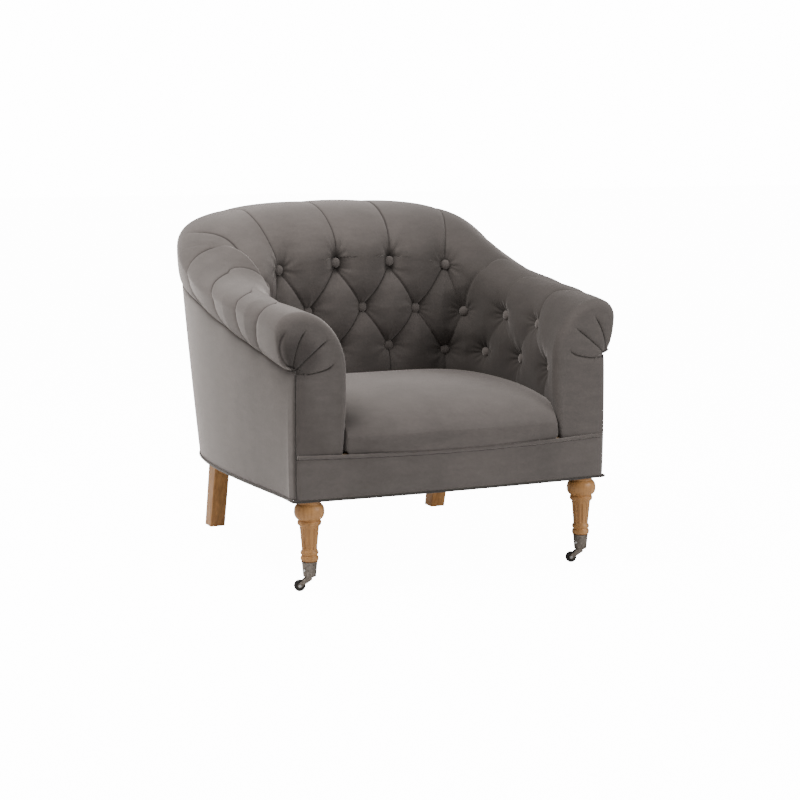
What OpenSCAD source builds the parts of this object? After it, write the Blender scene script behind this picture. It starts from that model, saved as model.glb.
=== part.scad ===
// Tub club chair: tufted back and arms, pleated roll, tight seat, turned front legs on castors.
// The front plane of the arms is y = 0 while a piece is drawn. placed() then centres the chair.

/* [Body] */
// Width across the front corners
front_w = 760; // [640:10:880]
// Height of the underside of the body above the floor
body_low = 208; // [172:2:230]
// Height of the deck, where the seat and the arms start
deck_z = 306; // [285:3:330]
// How far the sides swell out past the front corners, at their neck
side_swell = 48; // [20:2:70]
// Where the outside panels are widest, behind the front plane
side_y = 440; // [380:10:480]
// Depth of the outside back at its neck, behind the front plane
back_y = 850; // [790:5:900]
// How far the outside back leans out between its foot and its neck
back_lean = 62; // [20:2:80]
// Thickness of the outside panels
panel_t = 6; // [4:1:10]

/* [Inside] */
// Width of an arm at its front
arm_w = 118; // [100:2:140]
// Width of an arm where the seat is widest
arm_side_w = 128; // [110:2:150]
// Where the inside is widest, behind the front plane
inner_side_y = 300; // [240:10:340]
// Depth of the seat to the inside back
inner_y = 505; // [460:5:560]
// Thickness of the padding inside the arms and the back
pad_t = 42; // [30:2:50]

/* [Roll] */
// Crest height of the arm at its front
crest_front = 614; // [590:2:640]
// How much the crest climbs steadily from the front of the arm to the back
crest_climb = 52; // [30:2:80]
// Crest height at the middle of the back
crest_back = 819; // [790:2:860]
// Neck height at the front of the arm, where the roll meets the outside panel
neck_front = 489; // [470:2:510]
// Neck height at the middle of the back
neck_back = 662; // [630:2:690]
// How far the roll stands out past its neck at the front of the arm
roll_out = 30; // [14:2:40]
// How far the roll stands out past its neck at the back
roll_out_back = 14; // [8:2:30]
// How far the inside of the roll rises above its spring line
roll_rise = 130; // [110:2:150]

/* [Tufting] */
// Button spacings from the middle of the back to the front of an arm
inner_turns = 4.99; // [4.7:0.01:5.2]
// Height of the lowest button row
row_z = 466; // [450:2:480]
// Height between button rows
row_pitch = 98; // [88:1:104]
// How far the two lower button rows sink along the arms
arm_row_drop = 18; // [0:1:24]
// Diameter of a covered button
button_d = 24; // [18:1:28]
// How deep a button pulls the padding in
tuft_deep = 26; // [16:1:32]
// How deep the folds between buttons are
fold_deep = 12; // [6:1:16]
// How deep the pleats over the roll are
pleat_deep = 7; // [3:1:10]

/* [Seat] */
// Height of the seat crown above the deck
seat_crown = 118; // [100:2:135]
// Height of the seat at its edges above the deck
seat_edge = 76; // [60:2:90]
// How far the nose of the seat stands past the front plane
seat_nose = 24; // [20:1:30]
// How far the front border bows out in plan
bow = 13; // [6:1:15]
// How far the border welt dips at its middle
welt_dip = 8; // [2:1:12]
// Thickness of the border welt
border_welt_d = 8.4; // [6:0.2:10]
// Thickness of the bottom welt
bottom_welt_d = 6; // [5:0.5:8]
// Thickness of the welts down the front corners
corner_welt_d = 6; // [4:0.5:8]

/* [Front legs] */
// Distance of a front leg's axis in from the corner of the front
leg_in = 42; // [38:1:70]
// Distance of a front leg's axis behind the front plane
leg_y = 28; // [28:1:36]
// Widest diameter of the turned bun
bun_d = 67; // [60:1:72]
// Diameter of the top of the fluted shaft
shaft_top_d = 43; // [36:1:48]
// Diameter of the foot of the fluted shaft
shaft_low_d = 34; // [30:1:38]
// Number of flutes
flutes = 12; // [8:1:16]

/* [Castors] */
// Diameter of a castor wheel
wheel_d = 25.4; // [20:0.2:27]
// Width of a castor wheel
wheel_w = 9; // [6:0.5:11]
// Distance of the wheel's axle from the swivel axis
trail = 22; // [18:0.5:26]
// Direction in which the castors trail, seen from above
trail_turn = 164; // [0:1:359]
// Height of the bottom of the castor socket
socket_low = 33; // [32:1:38]
// Height of the castor socket
socket_h = 33; // [26:1:36]
// Top diameter of the castor socket
socket_top_d = 35; // [32:0.5:38]
// Bottom diameter of the castor socket
socket_low_d = 28.6; // [27:0.2:31]

/* [Rear legs] */
// Distance of a rear leg in from the widest part of the sides
rear_in = 121; // [120:1:138]
// Distance of a rear leg's foot behind the front plane
rear_foot_y = 756; // [730:2:780]
// How far the foot stands behind the top of the leg
rear_rake = 52; // [20:2:56]
// Width of a rear leg
rear_w = 39; // [32:1:44]
// Depth of a rear leg at its top
rear_top_d = 52; // [42:1:56]
// Depth of a rear leg at its foot
rear_foot_d = 42; // [32:1:46]

/* [Hidden] */

// Colours
velvet = [0.42, 0.40, 0.385];
velvet_dark = [0.33, 0.31, 0.30];
oak = [0.72, 0.53, 0.35];
frame_wood = [0.83, 0.72, 0.53];
steel = [0.62, 0.63, 0.64];
pewter = [0.44, 0.41, 0.37];
lining_black = [0.10, 0.10, 0.11];

// Clearances and overruns
gap = 0.3;
running = 0.05;
over = 1;
facing_t = 25;
front_hw = front_w / 2;
side_hw = front_hw + side_swell;
leg_x = front_hw - leg_in;
rear_x = side_hw - rear_in;
inner_hw = front_hw - arm_w;
inner_side_hw = side_hw - arm_side_w;

// The part's origin is on the floor under the middle of its box
border_proud = border_welt_d / 2 - 0.6;
rear_top_y = rear_foot_y - rear_rake;
mid_y = (back_y + roll_out_back - seat_nose) / 2;
module placed() translate([0, -mid_y, 0]) children();
module right_side() mirror([1, 0, 0]) children();

// Plan curves: a half outline from the middle of the back to the front of the arm
inner_power = 0.25;
outer_power = 0.25;
curve_steps = 40;
function plan_x(front, side, side_at, y) = let (u = 1 - y / side_at) front + (side - front) * (1 - u * u);
function half_plan(front, side, side_at, back_at, power, cut) = concat(
    [for (i = [0:curve_steps])
        let (a = 90 * pow(i / curve_steps, 1 / power))
            [side * pow(sin(a), power), side_at + (back_at - side_at) * cos(a)]],
    [for (i = [1:curve_steps / 2])
        let (y = side_at + (cut - side_at) * i / (curve_steps / 2)) [plan_x(front, side, side_at, y), y]]);
function run_lengths(points, i = 0, sum = 0, out = []) =
    i == len(points) ? out
    : let (s = i == 0 ? 0 : sum + norm(points[i] - points[i - 1]))
        run_lengths(points, i + 1, s, concat(out, [s]));
function table(points, lengths, axis) = [for (i = [0:len(points) - 1])
    [lengths[i] / lengths[len(lengths) - 1], points[i][axis]]];

body_cut = facing_t + gap;
inner_points = half_plan(inner_hw, inner_side_hw, inner_side_y, inner_y, inner_power, body_cut);
outer_points = half_plan(front_hw, side_hw, side_y, back_y, outer_power, body_cut);
inner_lengths = run_lengths(inner_points);
outer_lengths = run_lengths(outer_points);
inner_run = inner_lengths[len(inner_lengths) - 1];
outer_run = outer_lengths[len(outer_lengths) - 1];
button_pitch = inner_run / inner_turns;
inner_x = table(inner_points, inner_lengths, 0);
inner_yy = table(inner_points, inner_lengths, 1);
outer_x = table(outer_points, outer_lengths, 0);
outer_yy = table(outer_points, outer_lengths, 1);

// A station t runs from 0 at the middle of the back to 1 at the arm's padded front, and past it
function side_of(t) = t < 0 ? -1 : 1;
function past_y(t) = body_cut - (abs(t) - 1) * outer_run;
function inner_at(t) = let (a = abs(t)) a > 1
    ? [side_of(t) * plan_x(inner_hw, inner_side_hw, inner_side_y, past_y(t)), past_y(t)]
    : [side_of(t) * lookup(a, inner_x), lookup(a, inner_yy)];
function neck_at(t) = let (a = abs(t)) a > 1
    ? [side_of(t) * plan_x(front_hw, side_hw, side_y, past_y(t)), past_y(t)]
    : [side_of(t) * lookup(a, outer_x), lookup(a, outer_yy)];
function width_at(t) = norm(neck_at(t) - inner_at(t));
function way_at(t) = (neck_at(t) - inner_at(t)) / width_at(t);
function at(t, d, z) = let (p = inner_at(t) + way_at(t) * d) [p[0], p[1], z];
function ease(u) = u * u * (3 - 2 * u);
function share(t) = min(1, abs(t));

// Heights along the path
turn_share = 0.43;
turn_width_share = 0.075;
function crest_at(t) = crest_front + crest_climb * (1 - share(t) * share(t))
    + (crest_back - crest_front - crest_climb) / (1 + exp((share(t) - turn_share) / turn_width_share));
function neck_z(t) = neck_front + (neck_back - neck_front) * sin(90 * (1 - share(t)));
function spring_z(t) = crest_at(t) - roll_rise;
function out_at(t) = roll_out_back + (roll_out - roll_out_back) * pow(share(t), 2);
function lean_at(t) = back_lean * pow(1 - share(t) * share(t), 0.75);
function under_z(t, d) = spring_z(t) + (neck_z(t) - spring_z(t)) * d / width_at(t);

// The roll's profile at a station: d runs outwards from the inside face, z is the height
belly = 12;
belly_share = 0.8;
crest_share = 0.5;
crest_front_share = 0.14;
roll_widest_share = 0.36;
inner_round = 1.9;
outer_round = 2.2;
function crest_d(t) = (width_at(t) + out_at(t)) * (crest_share + crest_front_share * share(t) * share(t));
function widest_z(t) = neck_z(t) + (crest_at(t) - neck_z(t)) * (1 - roll_widest_share);
function belly_at(t, z) = belly
    * sin(90 * min(1, max(0, z - deck_z - gap) / (belly_share * (spring_z(t) - deck_z - gap))));
function rise_share(t, z) = min(1, max(0, z - spring_z(t)) / roll_rise);
function inner_d(t, z) = (crest_d(t) + belly_at(t, z))
    * (1 - pow(1 - pow(rise_share(t, z), inner_round), 1 / inner_round)) - belly_at(t, z);
drop_from_share = 0.12;
drop_over_share = 0.18;
function smooth(u) = let (v = min(1, max(0, u))) v * v * (3 - 2 * v);
function low_row_z(t) = row_z - arm_row_drop * smooth((share(t) - drop_from_share) / drop_over_share);
function row_height(t, row) = row <= 1 ? low_row_z(t) + row * row_pitch
    : low_row_z(t) + row_pitch + (row - 1) * min(row_z + row_pitch - low_row_z(t),
        crest_at(t) - low_row_z(t) - row_pitch - button_d / 2);
function inner_arc(t, a) = [
    crest_d(t) - (crest_d(t) + belly_at(t, spring_z(t))) * pow(cos(a), 2 / inner_round),
    spring_z(t) + roll_rise * pow(sin(a), 2 / inner_round)];
function outer_arc(t, a) = [
    crest_d(t) + (width_at(t) + out_at(t) - crest_d(t)) * pow(sin(a), 2 / outer_round),
    widest_z(t) + (crest_at(t) - widest_z(t)) * pow(cos(a), 2 / outer_round)];

// Rows of the padding: up the inside, over the crest and down to the neck
low_rows = [-1.55, -1.05, -0.6, -0.25];
field_rows = [0, 0.125, 0.25, 0.5, 0.75, 0.875, 1, 1.125, 1.25, 1.5, 1.75, 2];
crest_steps = 4;
outer_steps = 4;
under_out_share = 0.75;
function start_angle(t) = asin(pow(rise_share(t, row_height(t, 2)), inner_round / 2));
function low_z(t, r) = deck_z + gap + (low_row_z(t) - deck_z - gap) * (1 - r / low_rows[0]);
function profile(t) = concat(
    [for (r = low_rows) [inner_d(t, low_z(t, r)), low_z(t, r), r]],
    [for (r = field_rows) [inner_d(t, row_height(t, r)), row_height(t, r), r]],
    [for (i = [1:crest_steps])
        let (p = inner_arc(t, start_angle(t) + (90 - start_angle(t)) * i / crest_steps))
            [p[0], p[1], 2 + i / crest_steps]],
    [for (i = [1:outer_steps])
        let (p = outer_arc(t, 90 * i / outer_steps)) [p[0], p[1], 3 + i / outer_steps]],
    [[width_at(t) + out_at(t) * under_out_share, (widest_z(t) + neck_z(t)) / 2, 4.5],
     [width_at(t), neck_z(t) + gap, 5]]);

// Tufting: c counts mean button spacings from the middle of the back, rows count up from the lowest.
// Diagonal folds join the buttons, and pleats run down to the deck. The arms are drawn in less.
fold_half = 0.24;
pleat_half = 0.2;
button_spread = 0.15;
field_edge = 2;
last_fold = 5;
arm_fold_share = 0.45;
// The pattern's half steps are closest in the back corners, and half_step_shares places them
half_step_shares = [0, 0.5, 1, 1.5, 1.75, 2.125, 2.625, 3.125, 3.75, 4.375, 5];
function place_of(step) = side_of(step) * half_step_shares[round(2 * abs(step))];
function step_of(c) = side_of(c) * lookup(abs(c),
    [for (i = [0:len(half_step_shares) - 1]) [half_step_shares[i], i / 2]]);
buttons_at = concat(
    [for (s = [-4.5:1:4.5]) [place_of(s), 0]],
    [for (s = [-4:1:4]) [place_of(s), 1]],
    [for (s = [-1.5:1:1.5]) [place_of(s), 2]]);
function t_of(c) = c / inner_turns;
function near(v) = abs(v - round(v));
function fold(v, half) = pow(max(0, 1 - v / half), 1.4);
function field_top(s) = max(1, min(2, 1 + 2 * (field_edge - abs(s))));
function fold_deep_at(c) = fold_deep * (1 - (1 - arm_fold_share) * smooth(abs(c) - field_edge + 0.5));
function fold_sink(c, row) =
    let (s = step_of(c), k = max(0, min(row, 2)))
    row < 0 ? (abs(s) < last_fold - 0.25 ? fold(near(s - 0.5), pleat_half) * fold_deep_at(c) : 0)
    : row > field_top(s) || abs(s) > last_fold ? 0
    : max(fold(near(s - k / 2 - 0.5), fold_half), fold(near(s + k / 2 - 0.5), fold_half)) * fold_deep_at(c);

// Pleats over the roll, as places at rows: they rise from the top buttons, lean towards the front
// over the arms, and end under the roll
roll_pleat_half = 0.22;
roll_pleat_end = 4.6;
roll_pleat_shares = [
    [[2, 0.5], [5, 0.5]],
    [[2, 1.5], [5, 1.5]],
    [[2.25, 2], [3, 2.25], [4, 2.7], [5, 3]],
    [[1, 1.75], [2, 2.125], [3, 2.9], [4, 3.625], [5, 3.75]],
    [[1, 2.625], [2, 3.125], [3, 3.75], [4, 4.125], [5, 4.25]],
    [[1, 3.75], [2, 4.125], [3, 4.5], [4, 4.625], [5, 4.6]]];
function roll_sink(c, row) = row > roll_pleat_end ? 0 : max([for (line = roll_pleat_shares)
    fold(abs(abs(c) - lookup(row, line)), roll_pleat_half) * pleat_deep
        * max(0, min(1, 0.5 + row - line[0][0]))]);
function button_sink(c, row) = max([for (b = buttons_at) let (
    across = c - b[0], up = (row - b[1]) * row_pitch / button_pitch)
        tuft_deep * exp(-(across * across + up * up) / (button_spread * button_spread))]);
function sunk(c, row) = max(fold_sink(c, row), row > 1 ? roll_sink(c, row) : 0) + button_sink(c, row);
function sinking_way(t, p) = p[1] <= spring_z(t) ? [1, 0]
    : let (v = [crest_d(t) - p[0], spring_z(t) - p[1]]) v / norm(v);
function padding_ring(c) =
    let (t = t_of(c))
    concat(
        [for (p = profile(t)) let (s = sunk(c, p[2]), w = sinking_way(t, p))
            at(t, p[0] + w[0] * s, p[1] + w[1] * s)],
        [at(t, pad_t, under_z(t, pad_t) + gap), at(t, pad_t, deck_z + gap)]);

// Stations of a piece: its two ends, and every column of the padding's grid between them
column = 0.125;
function stations(from, to) = concat(
    [from], [for (i = [ceil(from / column + 0.3):floor(to / column - 0.3)]) i * column], [to]);
function reversed(list) = [for (i = [len(list) - 1:-1:0]) list[i]];

// Faces between rings of points, and a fan over each end from one point of its ring.
// Pieces that lie against each other share their stations and their diagonals.
function ring_faces(count, n, crossed) = [for (i = [0:count - 2], j = [0:n - 1])
    let (a = i * n + j, b = i * n + (j + 1) % n, c = a + n, d = b + n)
        each crossed ? [[a, c, b], [b, c, d]] : [[a, d, b], [a, c, d]]];
function fan_faces(n, hub, start, far_end) = [for (j = [1:n - 2])
    let (h = start + hub, a = start + (hub + j) % n, b = start + (hub + j + 1) % n)
        far_end ? [h, b, a] : [h, a, b]];
module sweep(rings, hub, crossed) {
    n = len(rings[0]);
    polyhedron([for (r = rings) each r], concat(
        ring_faces(len(rings), n, crossed),
        fan_faces(n, hub, 0, false),
        fan_faces(n, hub, (len(rings) - 1) * n, true)));
}
module closed_sweep(rings) {
    n = len(rings[0]);
    m = len(rings);
    polyhedron([for (r = rings) each r], [for (i = [0:m - 1], j = [0:n - 1])
        let (a = i * n + j, b = i * n + (j + 1) % n,
             c = ((i + 1) % m) * n + j, d = ((i + 1) % m) * n + (j + 1) % n)
            each [[a, d, b], [a, c, d]]]);
}

// The padding is one line in three pieces, parted in the back corners
part_c = 2.25;
part_half = gap / button_pitch;
module padding(from, to)
    sweep([for (c = reversed(stations(from, to))) padding_ring(c)], len(profile(0)), false);
module tufted_back() color(velvet_dark) placed() padding(-part_c + part_half, part_c - part_half);
module tufted_arm_right() color(velvet_dark) placed() padding(part_c + part_half, inner_turns);
module tufted_arm_left() right_side() tufted_arm_right();

// Covered buttons: a domed disc that lies in its tuft, on a shank that reaches the bottom
button_edge = 3;
button_dome = 3;
shank_d = 5;
button_margin = 5.5;
function padding_at(c, row, sink) =
    let (t = t_of(c), z = row < 0 ? low_z(t, row) : row_height(t, row), d = inner_d(t, z))
    let (w = sinking_way(t, [d, z])) at(t, d + w[0] * sink, z + w[1] * sink);
// Depth, along the button's own axis, that the padding leaves free within a radius of it
around = [[-1, 0], [1, 0], [-1, 1], [1, 1], [0, 1], [-1, -1], [1, -1], [0, -1]];
function free_depth(b, start, out, r) = min([for (k = around)
    let (row = b[1] + (b[1] == 0 && k[1] < 0 ? low_rows[3] : k[1] * field_rows[1]), c = b[0] + k[0] * column)
        if (row <= 2) let (
            v = start - padding_at(c, row, sunk(c, row)), a = v * out, side = norm(v - a * out),
            s = sunk(b[0], b[1]))
            s + (a - s) * min(1, r / side)]);
module covered_button(shank) {
    translate([0, 0, -shank]) cylinder(d = shank_d, h = shank + button_edge, $fn = 24);
    cylinder(d = button_d, h = button_edge, $fn = 32);
    dome_r = (button_d * button_d / 4 + button_dome * button_dome) / (2 * button_dome);
    translate([0, 0, button_edge]) intersection() {
        translate([0, 0, button_dome - dome_r]) sphere(r = dome_r, $fn = 48);
        cylinder(d = button_d, h = button_dome, $fn = 32);
    }
}
module buttons() color(velvet) placed() for (b = buttons_at) {
    t = t_of(b[0]);
    z = row_height(t, b[1]);
    w = sinking_way(t, [inner_d(t, z), z]);
    out = [-way_at(t)[0] * w[0], -way_at(t)[1] * w[0], -w[1]];
    start = padding_at(b[0], b[1], 0);
    rest = free_depth(b, start, out, button_d / 2) - button_margin;
    shank = free_depth(b, start, out, shank_d / 2) - 2 * gap - rest;
    translate(start - out * rest)
        rotate([0, acos(out[2]), atan2(out[1], out[0])]) covered_button(shank);
}

// Seat: a crowned pad that fills the space between the arms and noses over the front border
nose_z = 24;
nose_deep = 95;
nose_power = 2.6;
side_power = 3.4;
back_power = 2.6;
crown_round = 1.7;
seat_tops = [1, 0.985, 0.955, 0.9, 0.81, 0.68, 0.5, 0.27];
seat_column = 0.25;
seat_front = 14;
seat_mid_share = 0.5;
seat_mid = [0, inner_y * seat_mid_share];
seat_back_rise = 20;
seat_inset = 5;
function bow_y(x) = -bow * (1 - x * x / (front_hw * front_hw));
function dip(x) = welt_dip * (1 - x * x / (front_hw * front_hw));
front_t = 1 + body_cut / outer_run;
function swell(u, power) = pow(1 - pow(1 - min(1, max(0, u)), power), 1 / crown_round);
// Heights of the seat's edge along its sides, of its middle line, and of the crown between them
function seat_side_z(y) = deck_z + nose_z
    + (seat_edge - seat_inset - nose_z) * swell(y / nose_deep, nose_power)
    + seat_back_rise * pow(max(0, y - inner_side_y) / (inner_y - inner_side_y), 2);
function seat_mid_z(y) = y < seat_mid[1]
    ? deck_z + nose_z + (seat_crown - nose_z) * swell(y / seat_mid[1], nose_power)
    : let (low = seat_side_z(inner_y)) low + (deck_z + seat_crown - low)
        * swell((inner_y - y) / (inner_y - seat_mid[1]), back_power);
function seat_half_at(y) = y < inner_side_y ? plan_x(inner_hw, inner_side_hw, inner_side_y, y)
    : inner_side_hw * pow(1 - pow(min(1, (y - inner_side_y) / (inner_y - inner_side_y)), 2), inner_power / 2);
function seat_z(p) = let (half = seat_half_at(max(0, p[1])),
    y = max(0, p[1] + seat_nose * nose_shape(min(1, abs(p[0]) / half)) * max(0, 1 - p[1] / seat_mid[1])),
    side = seat_side_z(y))
    side + (seat_mid_z(y) - side) * swell(1 - abs(p[0]) / max(1, half), side_power);
function seat_edge_z(t) = seat_side_z(max(0, inner_at(t)[1]));
function seat_xy(t, z, inset) = at(t, -belly_at(min(1, abs(t)), z) - gap - inset, z);
// A stop on the outline is [kind, place]: kind 0 runs along the arms and back, kind 1 along the nose
seat_stops = concat(
    [[0, front_t], [0, 1]],
    [for (c = [floor(inner_turns / seat_column - 0.3):-1:-floor(inner_turns / seat_column - 0.3)])
        [0, t_of(c * seat_column)]],
    [[0, -1], [0, -front_t]],
    [for (i = [1:seat_front - 1]) [1, -1 + 2 * i / seat_front]]);
nose_hw = seat_xy(front_t, deck_z + nose_z, 0)[0];
function nose_shape(u) = 1 - pow(abs(u), 3);
function seat_point(s, level) = s[0] == 0
    ? let (low = deck_z + gap, high = seat_edge_z(s[1]))
        (level == 0 ? seat_xy(s[1], low, seat_inset)
        : seat_xy(s[1], low + (high - low) * (level - 1) / 2, 0))
    : let (x = nose_hw * s[1], n = nose_shape(s[1]), y = bow_y(x) * n, z = deck_z + gap - dip(x) * n)
        (level == 0 ? [x, facing_t / 3, deck_z + gap]
        : [x, y - (seat_nose * n + y) * sin(45 * (level - 1)),
            z + (deck_z + nose_z - z) * (level - 1) / 2]);
function seat_top(s, q) = let (e = seat_point(s, 3))
    q == 1 ? e : let (p = seat_mid + ([e[0], e[1]] - seat_mid) * q) [p[0], p[1], seat_z(p)];
module seat_pad() color(velvet) placed() {
    n = len(seat_stops);
    rings = concat(
        [for (level = [0, 1, 2]) [for (s = seat_stops) seat_point(s, level)]],
        [for (q = seat_tops) [for (s = seat_stops) seat_top(s, q)]]);
    m = len(rings);
    polyhedron(
        concat([for (r = rings) each r],
            [[seat_mid[0], seat_mid[1], deck_z + gap], [seat_mid[0], seat_mid[1], deck_z + seat_crown]]),
        concat(
            ring_faces(m, n, false),
            [for (j = [0:n - 1]) [m * n, j, (j + 1) % n]],
            [for (j = [0:n - 1]) [m * n + 1, (m - 1) * n + (j + 1) % n, (m - 1) * n + j]]));
}

// Arm facings: the padded front of each arm, with pleats that fan out from the neck
fan_first = -50;
fan_step = 32;
fan_pleats = 5;
fan_half = 9;
fan_deep = 4;
facing_edge = 11;
facing_shares = [0.16, 0.36, 0.58, 0.78, 0.92];
function facing_t_at(y) = 1 + (body_cut - y) / outer_run;
function facing_outline(y) = let (t = facing_t_at(y),
    out = neck_at(t)[0] - panel_t - gap - (y < facing_t ? corner_welt_d / 2 : 0)) concat(
    [for (p = profile(t)) [inner_at(t)[0] + p[0], p[1]]],
    [[out, neck_front + gap], [out, (neck_front + deck_z) / 2], [out, deck_z + gap]]);
facing_hub = [front_hw - 3 * panel_t, neck_front - panel_t];
function fan_sink(p) =
    let (v = p - facing_hub, a = atan2(-v[0], v[1]), i = round((a - fan_first) / fan_step))
    i < 0 || i >= fan_pleats ? 0
    : fan_deep * pow(max(0, 1 - abs(a - fan_first - i * fan_step) / fan_half), 1.3);
function facing_ring(q, y, sink) = [for (p = facing_outline(y))
    let (v = facing_hub + (p - facing_hub) * q) [v[0], y + fan_sink(p) * sink, v[1]]];
module arm_facing_right() color(velvet) placed() {
    rings = concat(
        [facing_ring(1, facing_t, 0), facing_ring(1, facing_edge, 0),
         facing_ring(0.98, facing_edge / 3, 0.5)],
        [for (k = [len(facing_shares) - 1:-1:0]) let (q = facing_shares[k])
            facing_ring(q, facing_edge * pow(q, 12), sin(180 * pow(q, 0.6)))]);
    n = len(rings[0]);
    m = len(rings);
    polyhedron(
        concat([for (r = rings) each r],
            [[facing_hub[0], facing_t, facing_hub[1]], [facing_hub[0], fan_deep, facing_hub[1]]]),
        concat(
            [for (f = ring_faces(m, n, false)) [f[0], f[2], f[1]]],
            [for (j = [0:n - 1]) [m * n, (j + 1) % n, j]],
            [for (j = [0:n - 1]) [m * n + 1, (m - 1) * n + j, (m - 1) * n + (j + 1) % n]]));
}
module arm_facing_left() right_side() arm_facing_right();

// Outside panels: the foot leans in under the neck towards the back
welt_clear = corner_welt_d + gap;
panel_front = inner_turns * (1 + (body_cut - welt_clear) / outer_run);
corner_c = 1.75;
function panel_d(t, z) = width_at(t) - lean_at(t) * max(0, neck_z(t) - z) / (neck_z(t) - body_low);
function panel_ring(t) = [
    at(t, panel_d(t, body_low), body_low),
    at(t, panel_d(t, rail_top), rail_top),
    at(t, width_at(t), neck_z(t)),
    at(t, width_at(t) - panel_t, under_z(t, width_at(t) - panel_t)),
    at(t, panel_d(t, rail_top) - panel_t, rail_top),
    at(t, panel_d(t, body_low) - panel_t, body_low)];
module panel(stops) sweep([for (c = stops) panel_ring(t_of(c))], 1, false);
module outside_back() color(velvet) placed() panel(stations(-corner_c, corner_c));
module outside_arm_right() color(velvet) placed()
    panel(concat(stations(corner_c + part_half, inner_turns), [panel_front]));
module outside_arm_left() right_side() outside_arm_right();

// Timber frame: rails, posts and shaped boards that follow the same stations inside the panels
rail_t = 25;
board_t = 22;
post_t = 45;
post_clear = 1.6;
spring_t = 4;
clip_t = 1.2;
rail_top = deck_z - spring_t - clip_t;
inside_panel = panel_t + gap;
function rail_ring(t, in, thick) =
    let (a = panel_d(t, body_low) - in, b = panel_d(t, rail_top) - in)
    [at(t, a, body_low), at(t, b, rail_top), at(t, b - thick, rail_top), at(t, a - thick, body_low)];
module rail(from, to, in, thick)
    sweep([for (c = stations(from, to)) rail_ring(t_of(c), in, thick)], 0, true);
function board_ring(t) =
    let (a = pad_t + gap, b = width_at(t) - inside_panel,
         lean = lean_at(t) * board_t / (neck_z(t) - body_low))
    [at(t, b - lean, under_z(t, b) - board_t), at(t, b, under_z(t, b)),
     at(t, a, under_z(t, a)), at(t, a, under_z(t, a) - board_t)];
module board(from, to) sweep([for (c = stations(from, to)) board_ring(t_of(c))], 0, true);
function post_ring(t) =
    let (low = rail_top + gap, d0 = panel_d(t, low) - inside_panel, d1 = width_at(t) - inside_panel,
         drop = board_t + post_clear, d2 = d1 - lean_at(t) * drop / (neck_z(t) - body_low))
    [at(t, d0, low), at(t, d2, under_z(t, d1) - drop),
     at(t, d2 - post_t, under_z(t, d1 - post_t) - drop), at(t, d0 - post_t, low)];
module post(from, to) sweep([for (c = stations(from, to)) post_ring(t_of(c))], 0, true);

block_back = 62;
rail_front = 8;
side_front = inner_turns * (1 - (block_back + rail_t / 2 - body_cut) / outer_run);
arm_post_from = 4.375;
arm_post_to = 4.75;
back_post_from = 1.5;
back_post_to = 2.125;
module side_rail_right() color(frame_wood) placed()
    rail(corner_c + part_half, side_front, inside_panel, rail_t);
module side_rail_left() right_side() side_rail_right();
module back_rail() color(frame_wood) placed() rail(-corner_c, corner_c, inside_panel, rail_t);
module arm_rail_right() color(frame_wood) placed() board(part_c + part_half, inner_turns);
module arm_rail_left() right_side() arm_rail_right();
module top_rail() color(frame_wood) placed() board(-part_c + part_half, part_c - part_half);
module arm_post_right() color(frame_wood) placed() post(arm_post_from, arm_post_to);
module arm_post_left() right_side() arm_post_right();
module back_post_right() color(frame_wood) placed() post(back_post_from, back_post_to);
module back_post_left() right_side() back_post_right();

// Front rail and the corner blocks that the legs are bolted to
block_half = 34;
block_inner = leg_x - block_half;
module box_between(low, high) translate(low) cube(high - low);
module bolt_bore() translate([0, 0, body_low - over])
    cylinder(d = bolt_d + 2 * running, h = bolt_up + 2 * over, $fn = 48);
module front_rail() color(frame_wood) placed()
    box_between([-block_inner + gap, rail_front, body_low],
        [block_inner - gap, rail_front + rail_t, rail_top]);
module front_corner_blocks() color(frame_wood) placed() for (side = [-1, 1]) difference() {
    box_between([side * leg_x - block_half, rail_front, body_low],
        [side * leg_x + block_half, block_back, rail_top]);
    translate([side * leg_x, leg_y, 0]) bolt_bore();
}
rear_block_from = 1.25;
rear_block_to = 1.875;
rear_block_t = 76;
module rear_block() difference() {
    rail(rear_block_from, rear_block_to, inside_panel + rail_t + gap, rear_block_t);
    translate([rear_x, rear_top_y, 0]) bolt_bore();
}
module rear_corner_blocks() color(frame_wood) placed() {
    rear_block();
    right_side() rear_block();
}

// Bolts that hold the legs
bolt_d = 10;
bolt_up = 45;
bolt_down = 34;
module leg_bolt() translate([0, 0, body_low - bolt_down])
    cylinder(d = bolt_d, h = bolt_down + bolt_up, $fn = 48);
module leg_bolts() color(steel) placed() for (side = [-1, 1]) {
    translate([side * leg_x, leg_y, 0]) leg_bolt();
    translate([side * rear_x, rear_top_y, 0]) leg_bolt();
}

// Sinuous seat springs from the front rail to the back rail, and the clips that hold their ends
springs = 5;
spring_pitch = 100;
spring_wire = 4;
spring_half = 24;
spring_wave = 60;
spring_points = 6;
spring_from = rail_front + rail_t / 2;
function rail_y(x) = let (t = lookup(x, [for (i = [0:20]) let (t = t_of(corner_c) * i / 20)
    [at(t, panel_d(t, rail_top) - inside_panel - rail_t / 2, 0)[0], t]]))
        at(t, panel_d(t, rail_top) - inside_panel - rail_t / 2, 0)[1];
module spring(x) {
    to = rail_y(abs(x));
    waves = floor((to - spring_from) / spring_wave);
    step = (to - spring_from) / (waves * spring_points);
    ys = [for (i = [0:waves * spring_points]) spring_from + i * step];
    phase = function (y) 360 * waves * (y - spring_from) / (to - spring_from);
    line = [for (y = ys) [x + spring_half * sin(phase(y)), y]];
    lean = [for (y = ys) let (s = spring_half * cos(phase(y)) * waves * 2 * PI / (to - spring_from))
        [1, -s] / norm([1, s]) * spring_wire / 2];
    translate([0, 0, deck_z - spring_t]) linear_extrude(spring_t) polygon(concat(
        [for (i = [0:len(ys) - 1]) line[i] + lean[i]],
        [for (i = [len(ys) - 1:-1:0]) line[i] - lean[i]]));
}
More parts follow.
